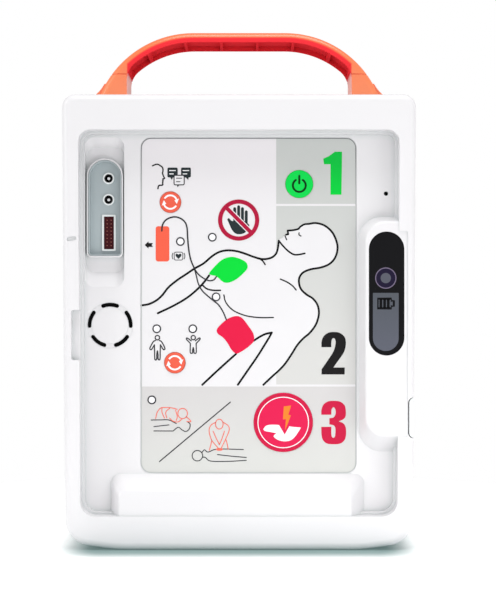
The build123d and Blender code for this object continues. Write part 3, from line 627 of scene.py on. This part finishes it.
# ------------------------------------------------------------------------------ patient drawing
NECK_AND_CHEST = [
    (-61.6, 152.0), (-56.7, 152.9), (-52.1, 155.2), (-48.4, 158.5), (-44.7, 163.2), (-39.1, 167.9),
    (-33.5, 171.6), (-28.0, 175.3), (-22.4, 178.5), (-16.8, 183.2), (-12.2, 185.8), (-7.5, 186.7),
    (-2.0, 186.3), (3.6, 184.7), (9.2, 182.6), (14.7, 181.2), (19.8, 181.9), (22.9, 184.1),
    (24.3, 187.6), (25.0, 192.8),
]
CHIN = (25.0, 192.8)
HAIRLINE = (43.8, 203.4)
BACK_OF_HEAD = [
    (43.8, 203.4), (48.6, 203.9), (54.1, 202.2), (58.9, 197.8), (61.6, 191.6), (61.9, 186.6),
    (60.2, 181.6), (56.7, 178.0), (51.4, 175.9), (45.2, 174.8), (40.4, 172.8), (38.0, 169.6),
    (37.8, 165.8), (39.2, 162.0), (42.6, 158.8), (46.4, 156.4), (49.3, 152.5), (50.3, 147.9),
    (49.6, 143.2), (47.7, 138.8), (44.2, 134.4), (40.4, 131.2), (36.6, 126.9), (33.4, 121.8),
    (29.0, 115.3), (25.0, 111.0), (21.0, 107.4), (15.3, 102.0),
]


def beside(start, end, along, aside):
    """Point at a share of the way from start to end, and a share of that length to its left."""
    run = (end[0] - start[0], end[1] - start[1])
    return (start[0] + along * run[0] - aside * run[1], start[1] + along * run[1] + aside * run[0])


def face_profile(chin, hairline, side=1):
    """Plain face from chin to hairline: nose from one third to two thirds of the way."""
    outline = (
        (0.0, 0.0), (0.04, 0.03), (0.13, 0.015), (0.18, 0.04), (0.225, 0.02), (0.27, 0.045),
        (1 / 3, 0.03), (1 / 3, 0.03), (0.37, 0.13), (0.37, 0.13), (0.52, 0.06), (2 / 3, 0.02),
        (0.74, 0.045), (0.88, 0.05), (1.0, 0.0),
    )
    return [beside(chin, hairline, along, side * aside) for along, aside in outline]


def face_marks(chin, hairline, side=1):
    """Closed eye and mouth, as two short lines."""
    eye = ((0.63, -0.09), (0.60, -0.14), (0.63, -0.20))
    mouth = ((0.225, 0.02), (0.215, -0.09))
    return [[beside(chin, hairline, along, side * aside) for along, aside in mark]
            for mark in (eye, mouth)]


ARM_UNDERSIDE = [(-18.9, 170.9), (-21.9, 166.9), (-26.2, 162.3), (-32.6, 157.0), (-41.0, 152.0),
                 (-51.2, 147.1)]
NEAR_ARM_OUTER = [(-23.2, 102.0), (-12.5, 112.0), (-1.8, 121.6)]
NEAR_ARM_INNER = [(9.2, 129.8), (12.8, 132.1), (16.6, 134.0), (20.6, 134.9), (20.6, 134.9),
                  (18.8, 131.6), (12.0, 120.6), (5.4, 111.0), (-0.8, 102.0)]
JAW = [(25.0, 192.8), (27.6, 189.6), (30.8, 186.4), (34.2, 184.2), (37.2, 184.0), (41.4, 184.8)]
BREAST = [(-9.6, 158.6), (-8.8, 155.0), (-6.6, 151.5), (-2.9, 148.4), (2.7, 146.0), (8.2, 144.8),
          (14.7, 144.3), (21.6, 144.4)]
COLLAR = [(12.6, 181.6), (14.7, 180.2), (16.4, 177.8)]
RIB = [(26.0, 168.6), (30.1, 166.8), (33.5, 164.5), (35.9, 161.8)]
ARMPIT = [(-22.9, 164.6), (-20.5, 162.6), (-16.8, 161.6), (-11.8, 161.5)]


def print_patient(inks):
    face = through(face_profile(CHIN, HAIRLINE))
    outline = face + through(BACK_OF_HEAD) + [(19.0, 102.0), (19.0, 186.0), (22.9, 186.0)]
    panel_print("print_patient_fill", [[outline]], 2, inks["paper"])
    pen = 1.3
    bold = [line(NECK_AND_CHEST, pen), line(BACK_OF_HEAD, pen), line(ARM_UNDERSIDE, pen),
            line(NEAR_ARM_OUTER, pen), line(JAW, 1.1), line(ARMPIT, 1.0)]
    bold += lines(face_profile(CHIN, HAIRLINE), 1.2) + lines(NEAR_ARM_INNER, pen)
    panel_print("print_patient_lines", bold, 3, inks["black"])
    thin = [line(BREAST, 0.8), line(COLLAR, 0.95), line(RIB, 0.9)]
    thin += [line(mark, 0.75) for mark in face_marks(CHIN, HAIRLINE)]
    panel_print("print_patient_details", thin, 3, inks["black"])


GREEN_PAD = [(-18.7, 172.6), (-13.8, 178.2), (-10.0, 181.2), (-4.9, 182.6), (0.0, 181.6), (4.1, 179.4),
             (5.4, 176.7), (4.2, 173.9), (-0.8, 169.2), (-4.9, 166.9), (-8.3, 166.3), (-10.9, 167.4),
             (-14.2, 170.3), (-17.6, 171.2)]
RED_PAD = [(-14.1, 136.6), (-12.1, 139.5), (-7.1, 143.6), (-1.8, 145.3), (1.9, 144.0), (5.9, 139.1),
           (9.0, 134.1), (9.2, 129.6), (5.9, 126.0), (1.7, 123.1), (-1.8, 121.7), (-4.8, 124.1),
           (-7.5, 128.6), (-10.2, 131.8), (-13.4, 134.2)]
CABLE = [(-48.7, 199.0), (-48.4, 202.2), (-47.0, 205.0), (-44.2, 207.0), (-40.5, 207.8), (-36.8, 206.8),
         (-34.0, 204.3), (-32.8, 200.6), (-32.4, 194.3), (-31.7, 186.9), (-30.4, 180.6), (-28.0, 174.8)]
CABLE_TO_GREEN = [(-28.0, 174.8), (-25.6, 171.6), (-21.9, 168.8), (-18.7, 167.6), (-15.9, 168.2),
                  (-14.3, 170.2)]
CABLE_TO_RED = [(-28.0, 174.8), (-26.8, 170.0), (-25.6, 165.5), (-22.9, 160.9), (-16.8, 155.5),
                (-13.1, 152.5), (-10.3, 148.3), (-8.0, 143.0)]


def print_pads(inks):
    panel_print("print_green_pad", [[through(GREEN_PAD, True)]], 4, inks["green"])
    panel_print("print_red_pad", [[through(RED_PAD, True)]], 4, inks["red"])
    plug = [rounded(-52.6, -44.0, 179.7, 201.9, (1.6, 1.6, 1.6, 1.6))]
    panel_print("print_plug", [plug], 3, inks["coral"])
    cables = [line(CABLE, 0.95), line(CABLE_TO_GREEN, 0.85), line(CABLE_TO_RED, 0.85)]
    panel_print("print_cable", cables, 5, inks["dark_grey"])
    arrow = [(-59.5, 190.1), (-57.1, 192.4), (-57.1, 191.3), (-54.3, 191.3), (-55.1, 190.1),
             (-54.3, 188.9), (-57.1, 188.9), (-57.1, 187.8)]
    panel_print("print_plug_arrow", [[arrow]], 3, inks["black"])


# ------------------------------------------------------------------------------ small signs
def print_device_sign(inks):
    """Dark heart on a screen, with a bracket at each side."""
    x, z = -38.2, 183.1
    screen = rounded(x - 2.7, x + 2.7, z - 2.5, z + 2.5, (1.1, 1.1, 1.1, 1.1))
    heart = through([(x, z - 1.8), (x, z - 1.8), (x + 1.7, z), (x + 1.7, z + 1.2), (x + 0.9, z + 1.5),
                     (x, z + 0.9), (x, z + 0.9), (x - 0.9, z + 1.5), (x - 1.7, z + 1.2),
                     (x - 1.7, z)], True)
    shapes = [stroke(screen, 0.45, True), [heart]]
    for side in (-1, 1):
        bracket = bend(x + side * 0.4, z, 3.6, 90 - side * 60, 90 - side * 120, 10)
        shapes.append(stroke(bracket, 0.5))
    panel_print("print_device_sign", shapes, 3, inks["slate"])


def print_prohibition(inks):
    """Open hand behind a crossed ring."""
    x, z = -0.3, 205.8
    outer, inner = 13.0, 10.35
    palm = through([(-6.4, 203.8), (-7.4, 206.2), (-6.4, 207.0), (-5.0, 205.5), (-3.9, 205.2),
                    (-3.6, 205.8), (-3.6, 208.4), (5.8, 203.5), (5.5, 200.4), (3.9, 198.0),
                    (0.8, 196.9), (-2.2, 197.3), (-4.6, 199.8)], True)
    fingers = [((-2.7, 206.0), (-2.8, 213.0)), ((-0.3, 206.0), (-0.3, 214.2)),
               ((2.1, 205.0), (2.1, 213.0)), ((4.5, 202.6), (4.5, 211.0))]
    hand = [[palm]] + [stroke([low, high], 1.85) for low, high in fingers]
    panel_print("print_hand", hand, 2, inks["slate"])
    half = inner / math.sqrt(2)
    across = [(x - half, z + half), (x + half, z - half)]
    panel_print("print_bar_margin", [stroke(across, 3.6)], 3, inks["paper"])
    panel_print("print_bar", [stroke(across, 2.5)], 4, inks["crimson"])
    ring = [circle(x, z, outer, 96), circle(x, z, inner, 96)]
    panel_print("print_ban_ring", [ring], 5, inks["crimson"])


def word_lines(places):
    """Plain lines in place of words, each given by its start and its length."""
    return [stroke([(x, z), (x + length, z)], 0.55) for x, z, length in places]


def print_speech_sign(inks):
    """Head in profile beside three speech bubbles."""
    chin, hairline = (-48.4, 227.8), (-48.6, 239.4)
    pen = 0.85
    crown = [(-54.6, 240.0), (-51.6, 241.0), hairline]
    throat = [chin, (-50.6, 227.5), (-51.2, 225.6)]
    face = lines(face_profile(chin, hairline, -1), pen) + [line(crown, pen), line(throat, pen)]
    panel_print("print_face_profile", face, 3, inks["black"])
    corner = (0.9,) * 4
    dark = [[rounded(-45.2, -38.7, 232.7, 238.9, corner)],
            [rounded(-36.6, -30.4, 232.7, 238.9, corner)],
            [[(-43.6, 232.9), (-42.4, 231.1), (-41.6, 232.9)]],
            [[(-34.0, 232.9), (-32.0, 231.1), (-31.8, 232.9)]]]
    panel_print("print_bubbles", dark, 3, inks["slate"])
    middle = rounded(-41.0, -34.6, 228.0, 234.0, corner)
    panel_print("print_bubble_back", [[middle]], 4, inks["paper"])
    outline = [stroke(middle, 0.65, True), [[(-39.2, 228.2), (-38.8, 226.5), (-37.4, 228.2)]]]
    panel_print("print_bubble_outline", outline, 5, inks["dark_grey"])
    light_words = ((-43.8, 237.0, 3.6), (-43.8, 234.9, 2.3), (-35.3, 237.0, 3.6), (-35.3, 234.9, 2.3))
    panel_print("print_bubble_lines", word_lines(light_words), 4, inks["white"])
    dark_words = ((-39.5, 232.2, 3.3), (-39.5, 230.0, 2.3))
    panel_print("print_bubble_lines_dark", word_lines(dark_words), 5, inks["dark_grey"])


def print_people(inks):
    """Outlines of an adult and a child, each drawn as its right half and the mirror of it."""
    adult = (-51.5, 1.4, [
        [(1.3, 129.9), (2.7, 129.0), (4.7, 125.2), (4.3, 124.2), (3.5, 124.5), (1.9, 127.2)],
        [(1.9, 127.0), (1.75, 122.6), (1.6, 118.1), (0.5, 118.1), (0.4, 121.0), (0.0, 123.4)],
    ])
    child = (-28.9, 1.35, [
        [(1.3, 129.7), (3.0, 131.0), (4.1, 131.5), (4.3, 130.7), (3.0, 129.3), (1.8, 128.0)],
        [(1.8, 128.0), (1.9, 125.0), (1.8, 122.1), (0.5, 122.1), (0.4, 123.8), (0.0, 125.4)],
    ])
    pen, head_z = 0.75, 131.7
    figures = []
    for x, head_radius, half in (adult, child):
        figures.append(stroke(circle(x, head_z, head_radius, 32), pen, True))
        for run in half:
            figures.append(line([(x + aside, z) for aside, z in run], pen))
            figures.append(line([(x - aside, z) for aside, z in run], pen))
    panel_print("print_people", figures, 3, inks["dark_grey"])


def print_rescue_scenes(inks):
    """Breathing and chest compression, on the two sides of a slanting line."""
    pen, fine_pen = 0.6, 0.55
    panel_print("print_divider", [stroke([(-50.2, 53.6), (-5.5, 91.1)], 0.7)], 3, inks["dark_grey"])
    lying = [
        line([(-55.4, 79.8), (-49.0, 79.9), (-44.2, 79.8), (-39.6, 77.6)], pen),
        line([(-53.7, 75.6), (-49.0, 76.2), (-44.2, 76.7)], pen),
        line([(-53.7, 72.9), (-41.6, 72.9)], pen),
        line([(-41.6, 72.9), (-38.4, 75.2), (-36.0, 73.6), (-33.6, 72.6), (-31.4, 74.2), (-30.9, 77.2),
              (-32.4, 78.6)], pen),
        stroke(circle(-26.3, 57.3, 3.3, 40), pen, True),
        line([(-23.4, 59.4), (-21.8, 61.0), (-19.6, 59.6), (-15.0, 61.3), (-8.0, 61.5),
              (2.7, 61.2)], pen),
        line([(-13.6, 58.0), (-4.6, 57.0), (4.5, 56.2)], pen),
        line([(-23.2, 56.4), (-21.2, 56.2), (-17.8, 53.9), (-6.0, 53.8), (4.5, 54.4)], pen),
    ]
    panel_print("print_lying_people", lying, 3, inks["dark_grey"])
    helpers = [
        line([(-52.6, 80.8), (-51.6, 84.7), (-49.3, 87.4), (-46.0, 87.7), (-42.8, 87.5),
              (-39.1, 86.6)], fine_pen),
        line([(-48.6, 87.2), (-48.6, 84.6), (-47.0, 81.0)], fine_pen),
        line([(-43.6, 87.4), (-46.2, 84.8), (-45.6, 81.2)], fine_pen),
        line([(-43.8, 81.0), (-41.8, 79.2), (-38.6, 78.6), (-36.0, 80.4)], fine_pen),
        line([(-40.0, 86.0), (-39.0, 82.0), (-39.6, 79.6)], fine_pen),
        stroke(oval(-35.6, 83.9, 3.0, 3.2), fine_pen, True),
        line([(-33.2, 81.8), (-31.4, 80.2), (-30.4, 78.8), (-33.0, 78.9)], fine_pen),
        stroke(oval(-12.5, 77.2, 2.4, 3.1), fine_pen, True),
        line([(-14.8, 78.4), (-18.0, 76.2), (-18.9, 72.6), (-17.2, 67.0), (-13.2, 62.2)], fine_pen),
        line([(-10.1, 78.4), (-6.9, 76.2), (-6.3, 73.2), (-8.4, 68.0), (-11.2, 62.2)], fine_pen),
        line([(-16.4, 72.8), (-14.4, 68.2), (-12.4, 64.4)], fine_pen),
        line([(-9.2, 72.8), (-10.8, 68.2), (-12.4, 64.4)], fine_pen),
        line([(-17.2, 67.0), (-18.0, 63.4), (-18.8, 60.8)], fine_pen),
        line([(-8.2, 67.2), (-7.4, 64.0), (-6.9, 61.4)], fine_pen),
        [oval(-12.4, 61.3, 2.2, 0.9)],
    ]
    panel_print("print_helpers", helpers, 4, inks["pale_coral"])


def print_lamp_rings(inks):
    """Dark ring around each indicator lens."""
    lenses = frame["nodes"]["indicator_lenses"].data
    places = lens_centres(lenses)
    rings = [stroke(circle(x, z, 2.35, 40), 0.85, True) for x, z in places]
    panel_print("print_lamp_rings", rings, 6, inks["dark_grey"])
    caps = [[circle(x, z, 2.05, 40)] for x, z in places]
    plates("lamp_caps", caps, PANEL - 6 * STEP, PANEL, inks["white"], "housing")


def lens_centres(data):
    """Centres of the separate round lenses in one node, found from its loose parts."""
    mesh = bmesh.new()
    mesh.from_mesh(data)
    seen, places = set(), []
    for start in mesh.verts:
        if start in seen:
            continue
        seen.add(start)
        stack, part = [start], []
        while stack:
            vert = stack.pop()
            part.append(vert.co.copy())
            for edge in vert.link_edges:
                other = edge.other_vert(vert)
                if other not in seen:
                    seen.add(other)
                    stack.append(other)
        xs, zs = [co.x for co in part], [co.z for co in part]
        place = (round((min(xs) + max(xs)) / 2 / MM, 2), round((min(zs) + max(zs)) / 2 / MM, 2))
        if place not in places:
            places.append(place)
    mesh.free()
    return places


# ------------------------------------------------------------------------------ numerals
ONE = [(60.3, 248.9), (64.9, 248.9), (64.5, 221.8), (57.6, 221.8), (57.6, 241.0), (53.5, 241.0),
       (53.0, 244.5), (56.4, 246.0)]
TWO = [(51.9, 125.7), (51.9, 125.7), (52.0, 129.6), (53.6, 133.0), (56.6, 134.9), (59.6, 135.3),
       (63.2, 134.8), (66.3, 132.4), (67.3, 129.0), (66.8, 124.6), (65.2, 121.0), (62.0, 116.6),
       (59.5, 112.9), (59.5, 112.9), (66.6, 112.9), (66.6, 112.9), (66.5, 108.5), (66.5, 108.5),
       (51.9, 108.5), (51.9, 108.5), (52.0, 111.8), (52.0, 111.8), (56.4, 118.2), (59.6, 123.4),
       (60.8, 128.2), (60.5, 130.6), (59.5, 131.4), (58.5, 130.6), (58.1, 128.6), (58.1, 125.7),
       (58.1, 125.7)]
THREE = [(51.8, 83.1), (51.8, 83.1), (51.9, 86.4), (53.2, 89.6), (56.0, 91.5), (59.6, 91.9),
         (63.6, 91.4), (66.4, 89.2), (67.2, 86.0), (67.1, 82.2), (65.6, 80.2), (62.8, 79.0),
         (62.8, 79.0), (65.8, 77.6), (67.2, 75.0), (67.4, 71.2), (66.6, 67.4), (63.8, 65.0),
         (59.6, 64.5), (55.4, 65.0), (52.8, 67.2), (51.9, 70.6), (51.8, 75.5), (51.8, 75.5),
         (58.1, 75.5), (58.1, 75.5), (58.2, 70.2), (59.2, 68.6), (60.4, 69.6), (60.7, 74.2),
         (59.6, 76.4), (56.9, 77.0), (56.9, 77.0), (56.9, 81.0), (56.9, 81.0), (59.4, 81.4),
         (60.7, 83.4), (60.7, 86.2), (59.6, 87.8), (58.3, 86.6), (58.1, 83.1), (58.1, 83.1)]


def print_numerals(inks):
    panel_print("print_one", [[ONE]], 2, inks["numeral_green"])
    panel_print("print_two", [[through(TWO, True)]], 2, inks["black"])
    panel_print("print_three", [[through(THREE, True)]], 2, inks["crimson"])


# ------------------------------------------------------------------------------ keys
def print_power_key(inks):
    x, z = centre("power_button")
    ring = stroke(bend(x, z - 0.9, 4.05, 90 + 33, 90 + 327, 40), 1.3)
    bar = stroke([(x, z + 0.4), (x, z + 5.1)], 1.3)
    key_print("power_sign", "power_button", [ring, bar], 1, inks["black_green"])


def print_turn_key(key, inks):
    """Two white arrows that follow each other clockwise around the key."""
    x, z = centre(key)
    radius, half_line, half_head = 4.25, 0.55, 1.5
    shapes = []
    for turn in (0, 180):
        start, neck, tip = 148 + turn, 22 + turn, -16 + turn
        outside = bend(x, z, radius + half_line, start, neck, 20)
        inside = bend(x, z, radius - half_line, neck, start, 20)
        outer_barb = bend(x, z, radius + half_head, neck, tip, 1)[0]
        point = bend(x, z, radius, neck, tip, 1)[1]
        inner_barb = bend(x, z, radius - half_head, neck, tip, 1)[0]
        shapes.append([outside + [outer_barb, point, inner_barb] + inside])
    key_print(key + "_arrows", key, shapes, 1, inks["white"])


def print_shock_key(inks):
    """White ring, a torso with a gap, and a bolt that strikes it."""
    x, z = centre("shock_button")
    outer, middle, inner = (circle(x, z, radius, 128) for radius in (18.1, 16.2, 15.65))
    key_print("shock_outer_ring", "shock_button", [[outer, middle]], 1, inks["crimson"])
    key_print("shock_white_ring", "shock_button", [[middle, inner]], 1, inks["white"])
    torso = through([(x - 12.6, z - 4.2), (x - 10.6, z - 2.0), (x - 6.4, z - 1.4), (x + 0.6, z - 1.9),
                     (x + 5.6, z - 2.7), (x + 11.2, z - 3.2), (x + 11.2, z - 3.2), (x + 8.4, z - 7.6),
                     (x + 5.4, z - 10.8), (x + 1.6, z - 11.9), (x - 2.8, z - 11.2), (x - 5.8, z - 9.2),
                     (x - 5.6, z - 7.8), (x - 4.2, z - 6.8), (x - 4.2, z - 6.8), (x - 8.0, z - 6.0),
                     (x - 11.4, z - 5.4)], True)
    key_print("shock_patient", "shock_button", [[torso]], 1, inks["white"])
    wound = [(x - 3.0, z - 1.0), (x + 4.6, z - 1.0), (x + 0.9, z - 7.6)]
    key_print("shock_gap", "shock_button", [[wound]], 2, inks["key_red"])
    bolt = [(x + 0.4, z + 10.1), (x + 5.0, z + 10.6), (x + 3.1, z + 4.9), (x + 4.8, z + 4.5),
            (x + 1.1, z - 5.2), (x + 1.7, z + 2.1), (x - 0.2, z + 2.0)]
    key_print("shock_bolt", "shock_button", [[bolt]], 3, inks["orange"])


# ------------------------------------------------------------------------------ status window
def print_window(inks):
    """Ring lamp above a display that shows a battery sign."""
    x, z = 91.2, 169.1
    outer, inner, dot = 6.6, 6.0, 3.2
    window_print("window_ring", [[circle(x, z, outer), circle(x, z, inner)]], 2, inks["lavender"])
    window_print("window_ring_inner", [[circle(x, z, inner), circle(x, z, dot)]], 1, inks["violet"])
    window_print("window_dot", [[circle(x, z, dot)]], 1, inks["lcd_light"])
    left, right, bottom, top = 83.2, 99.2, 123.8, 159.9
    screen = rounded(left, right, bottom, top, (8.0, 8.0, 0.4, 0.4))
    window_print("window_screen", [[screen]], 1, inks["lcd_grey"])
    battery = [(86.3, 150.3), (94.6, 150.3), (94.6, 151.7), (96.2, 151.7), (96.2, 154.9), (94.6, 154.9),
               (94.6, 156.3), (86.3, 156.3)]
    bars = [[rounded(start, start + 1.7, 150.6, 156.0, (0.1,) * 4)] for start in (87.3, 89.6, 91.9)]
    frame_line = stroke(battery, 1.5, True)
    window_print("window_battery_sign", [frame_line] + bars, 2, inks["deep_black"])


def make_inks():
    return {
        "white": ink("ink_white", srgb(229, 229, 232)),
        "paper": ink("ink_paper", srgb(213, 212, 214)),
        "black": ink("ink_black", srgb(24, 23, 24), specular=0.08),
        "deep_black": ink("ink_deep_black", BLACK, specular=0.04),
        "black_green": ink("ink_black_green", srgb(6, 44, 18), specular=0.08),
        "dark_grey": ink("ink_dark_grey", srgb(50, 50, 54), specular=0.08),
        "slate": ink("ink_slate", srgb(38, 46, 48), specular=0.08),
        # painted shadow of the film's edge, darker along the top
        "edge_shadow_grey": painted_shade_ink("ink_edge_shadow_grey", srgb(118, 122, 122), srgb(176, 180, 179), 0.250, 0.215),
        # painted shade: the grey zones darker towards the top
        "grey_zone": painted_shade_ink("ink_grey_zone", srgb(182, 185, 183), srgb(195, 195, 193), 0.250, 0.120),
        "grey_zone_low": painted_shade_ink("ink_grey_zone_low", srgb(193, 191, 191), srgb(197, 198, 195),
                                0.100, 0.05),
        "green": ink("ink_green", srgb(0, 199, 54)),
        # painted shade: the green numeral darker towards the top
        "numeral_green": painted_shade_ink("ink_numeral_green", srgb(8, 172, 60), srgb(0, 192, 58), 0.249, 0.222),
        "red": ink("ink_red", srgb(208, 24, 64)),
        "key_red": ink("ink_key_red", srgb(206, 26, 74)),
        # painted shade: the crimson darker towards the top
        "crimson": painted_shade_ink("ink_crimson", srgb(162, 22, 56), srgb(186, 24, 62), 0.19, 0.095),
        "coral": ink("ink_coral", srgb(222, 90, 68)),
        "pale_coral": ink("ink_pale_coral", srgb(222, 106, 90)),
        "orange": ink("ink_orange", srgb(232, 122, 44)),
        "lavender": ink("ink_lavender", srgb(108, 98, 120), specular=0.08),
        "violet": ink("ink_violet", srgb(26, 20, 44), specular=0.08),
        # painted shade: the display grey darker towards the top
        "lcd_grey": painted_shade_ink("ink_lcd_grey", srgb(76, 80, 87), srgb(84, 87, 98), 0.160, 0.124),
        "lcd_light": ink("ink_lcd_light", srgb(80, 82, 92), specular=0.08),
    }


# ------------------------------------------------------------------------------ floor
FLOOR_RADIUS = 0.34
SHADE_START, SHADE_END = 0.006, 0.04        # reach of the shade on the floor
SHADE_INSET = 0.026                         # how far in from the case's sides it turns round
BESIDE_SHADE = 0.85                         # how much fainter the shade is beside the case
CASE_LOW, CASE_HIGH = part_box("front_case")[0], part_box("rear_case")[1]


def contact_shade(material, shader):
    """Soft blue-grey shade on the floor, round the footprint of the case."""
    axes = object_axes(material)
    half_width = (CASE_HIGH.x - CASE_LOW.x) / 2
    half_depth = (CASE_HIGH.y - CASE_LOW.y) / 2
    aside = worked(material, "ABSOLUTE", axes["X"])
    middle = worked(material, "SUBTRACT", axes["Y"], (CASE_HIGH.y + CASE_LOW.y) / 2)
    along = worked(material, "ABSOLUTE", middle)
    squares = []
    for reach, start in ((aside, half_width - SHADE_INSET), (along, half_depth)):
        past = worked(material, "MAXIMUM", worked(material, "SUBTRACT", reach, start), 0.0)
        squares.append(worked(material, "MULTIPLY", past, past))
    distance = worked(material, "SQRT", worked(material, "ADD", *squares))
    round_edge = smooth_step(material, distance, SHADE_START, SHADE_END)
    past_side = smooth_step(material, aside, half_width - 0.012, half_width + 0.01)
    fainter = worked(material, "MULTIPLY", past_side, BESIDE_SHADE)
    open_floor = worked(material, "MAXIMUM", round_edge, fainter)
    shaded, open_white = (0.15, 0.215, 0.21), (0.85, 0.85, 0.85)
    for target in ("Base Color", "Emission Color"):
        colour_blend(material, open_floor, shaded, open_white, shader.inputs[target])
    shader.inputs["Emission Strength"].default_value = 0.6


def lay_floor():
    """White table top."""
    material, shader = new_material("studio_floor", (0.75, 0.75, 0.75), 0.7)
    vary_roughness(material, shader, object_noise(material, 3.0), 0.6, 0.7)
    contact_shade(material, shader)
    data = bpy.data.meshes.new("studio_floor")
    rim = [(x, y, 0) for x, y in circle(0, 0, FLOOR_RADIUS, 90)]
    data.from_pydata(rim, [], [tuple(range(len(rim)))])
    data.materials.append(material)
    floor = bpy.data.objects.new("studio_floor", data)
    bpy.context.scene.collection.objects.link(floor)


# ------------------------------------------------------------------------------ build
place_camera()
light_studio()
lay_floor()
dress_nodes(slot_materials())
INKS = make_inks()
print_zones(INKS)
print_patient(INKS)
print_pads(INKS)
print_device_sign(INKS)
print_prohibition(INKS)
print_speech_sign(INKS)
print_people(INKS)
print_rescue_scenes(INKS)
print_lamp_rings(INKS)
print_numerals(INKS)
print_power_key(INKS)
print_turn_key("language_button", INKS)
print_turn_key("patient_button", INKS)
print_shock_key(INKS)
print_window(INKS)
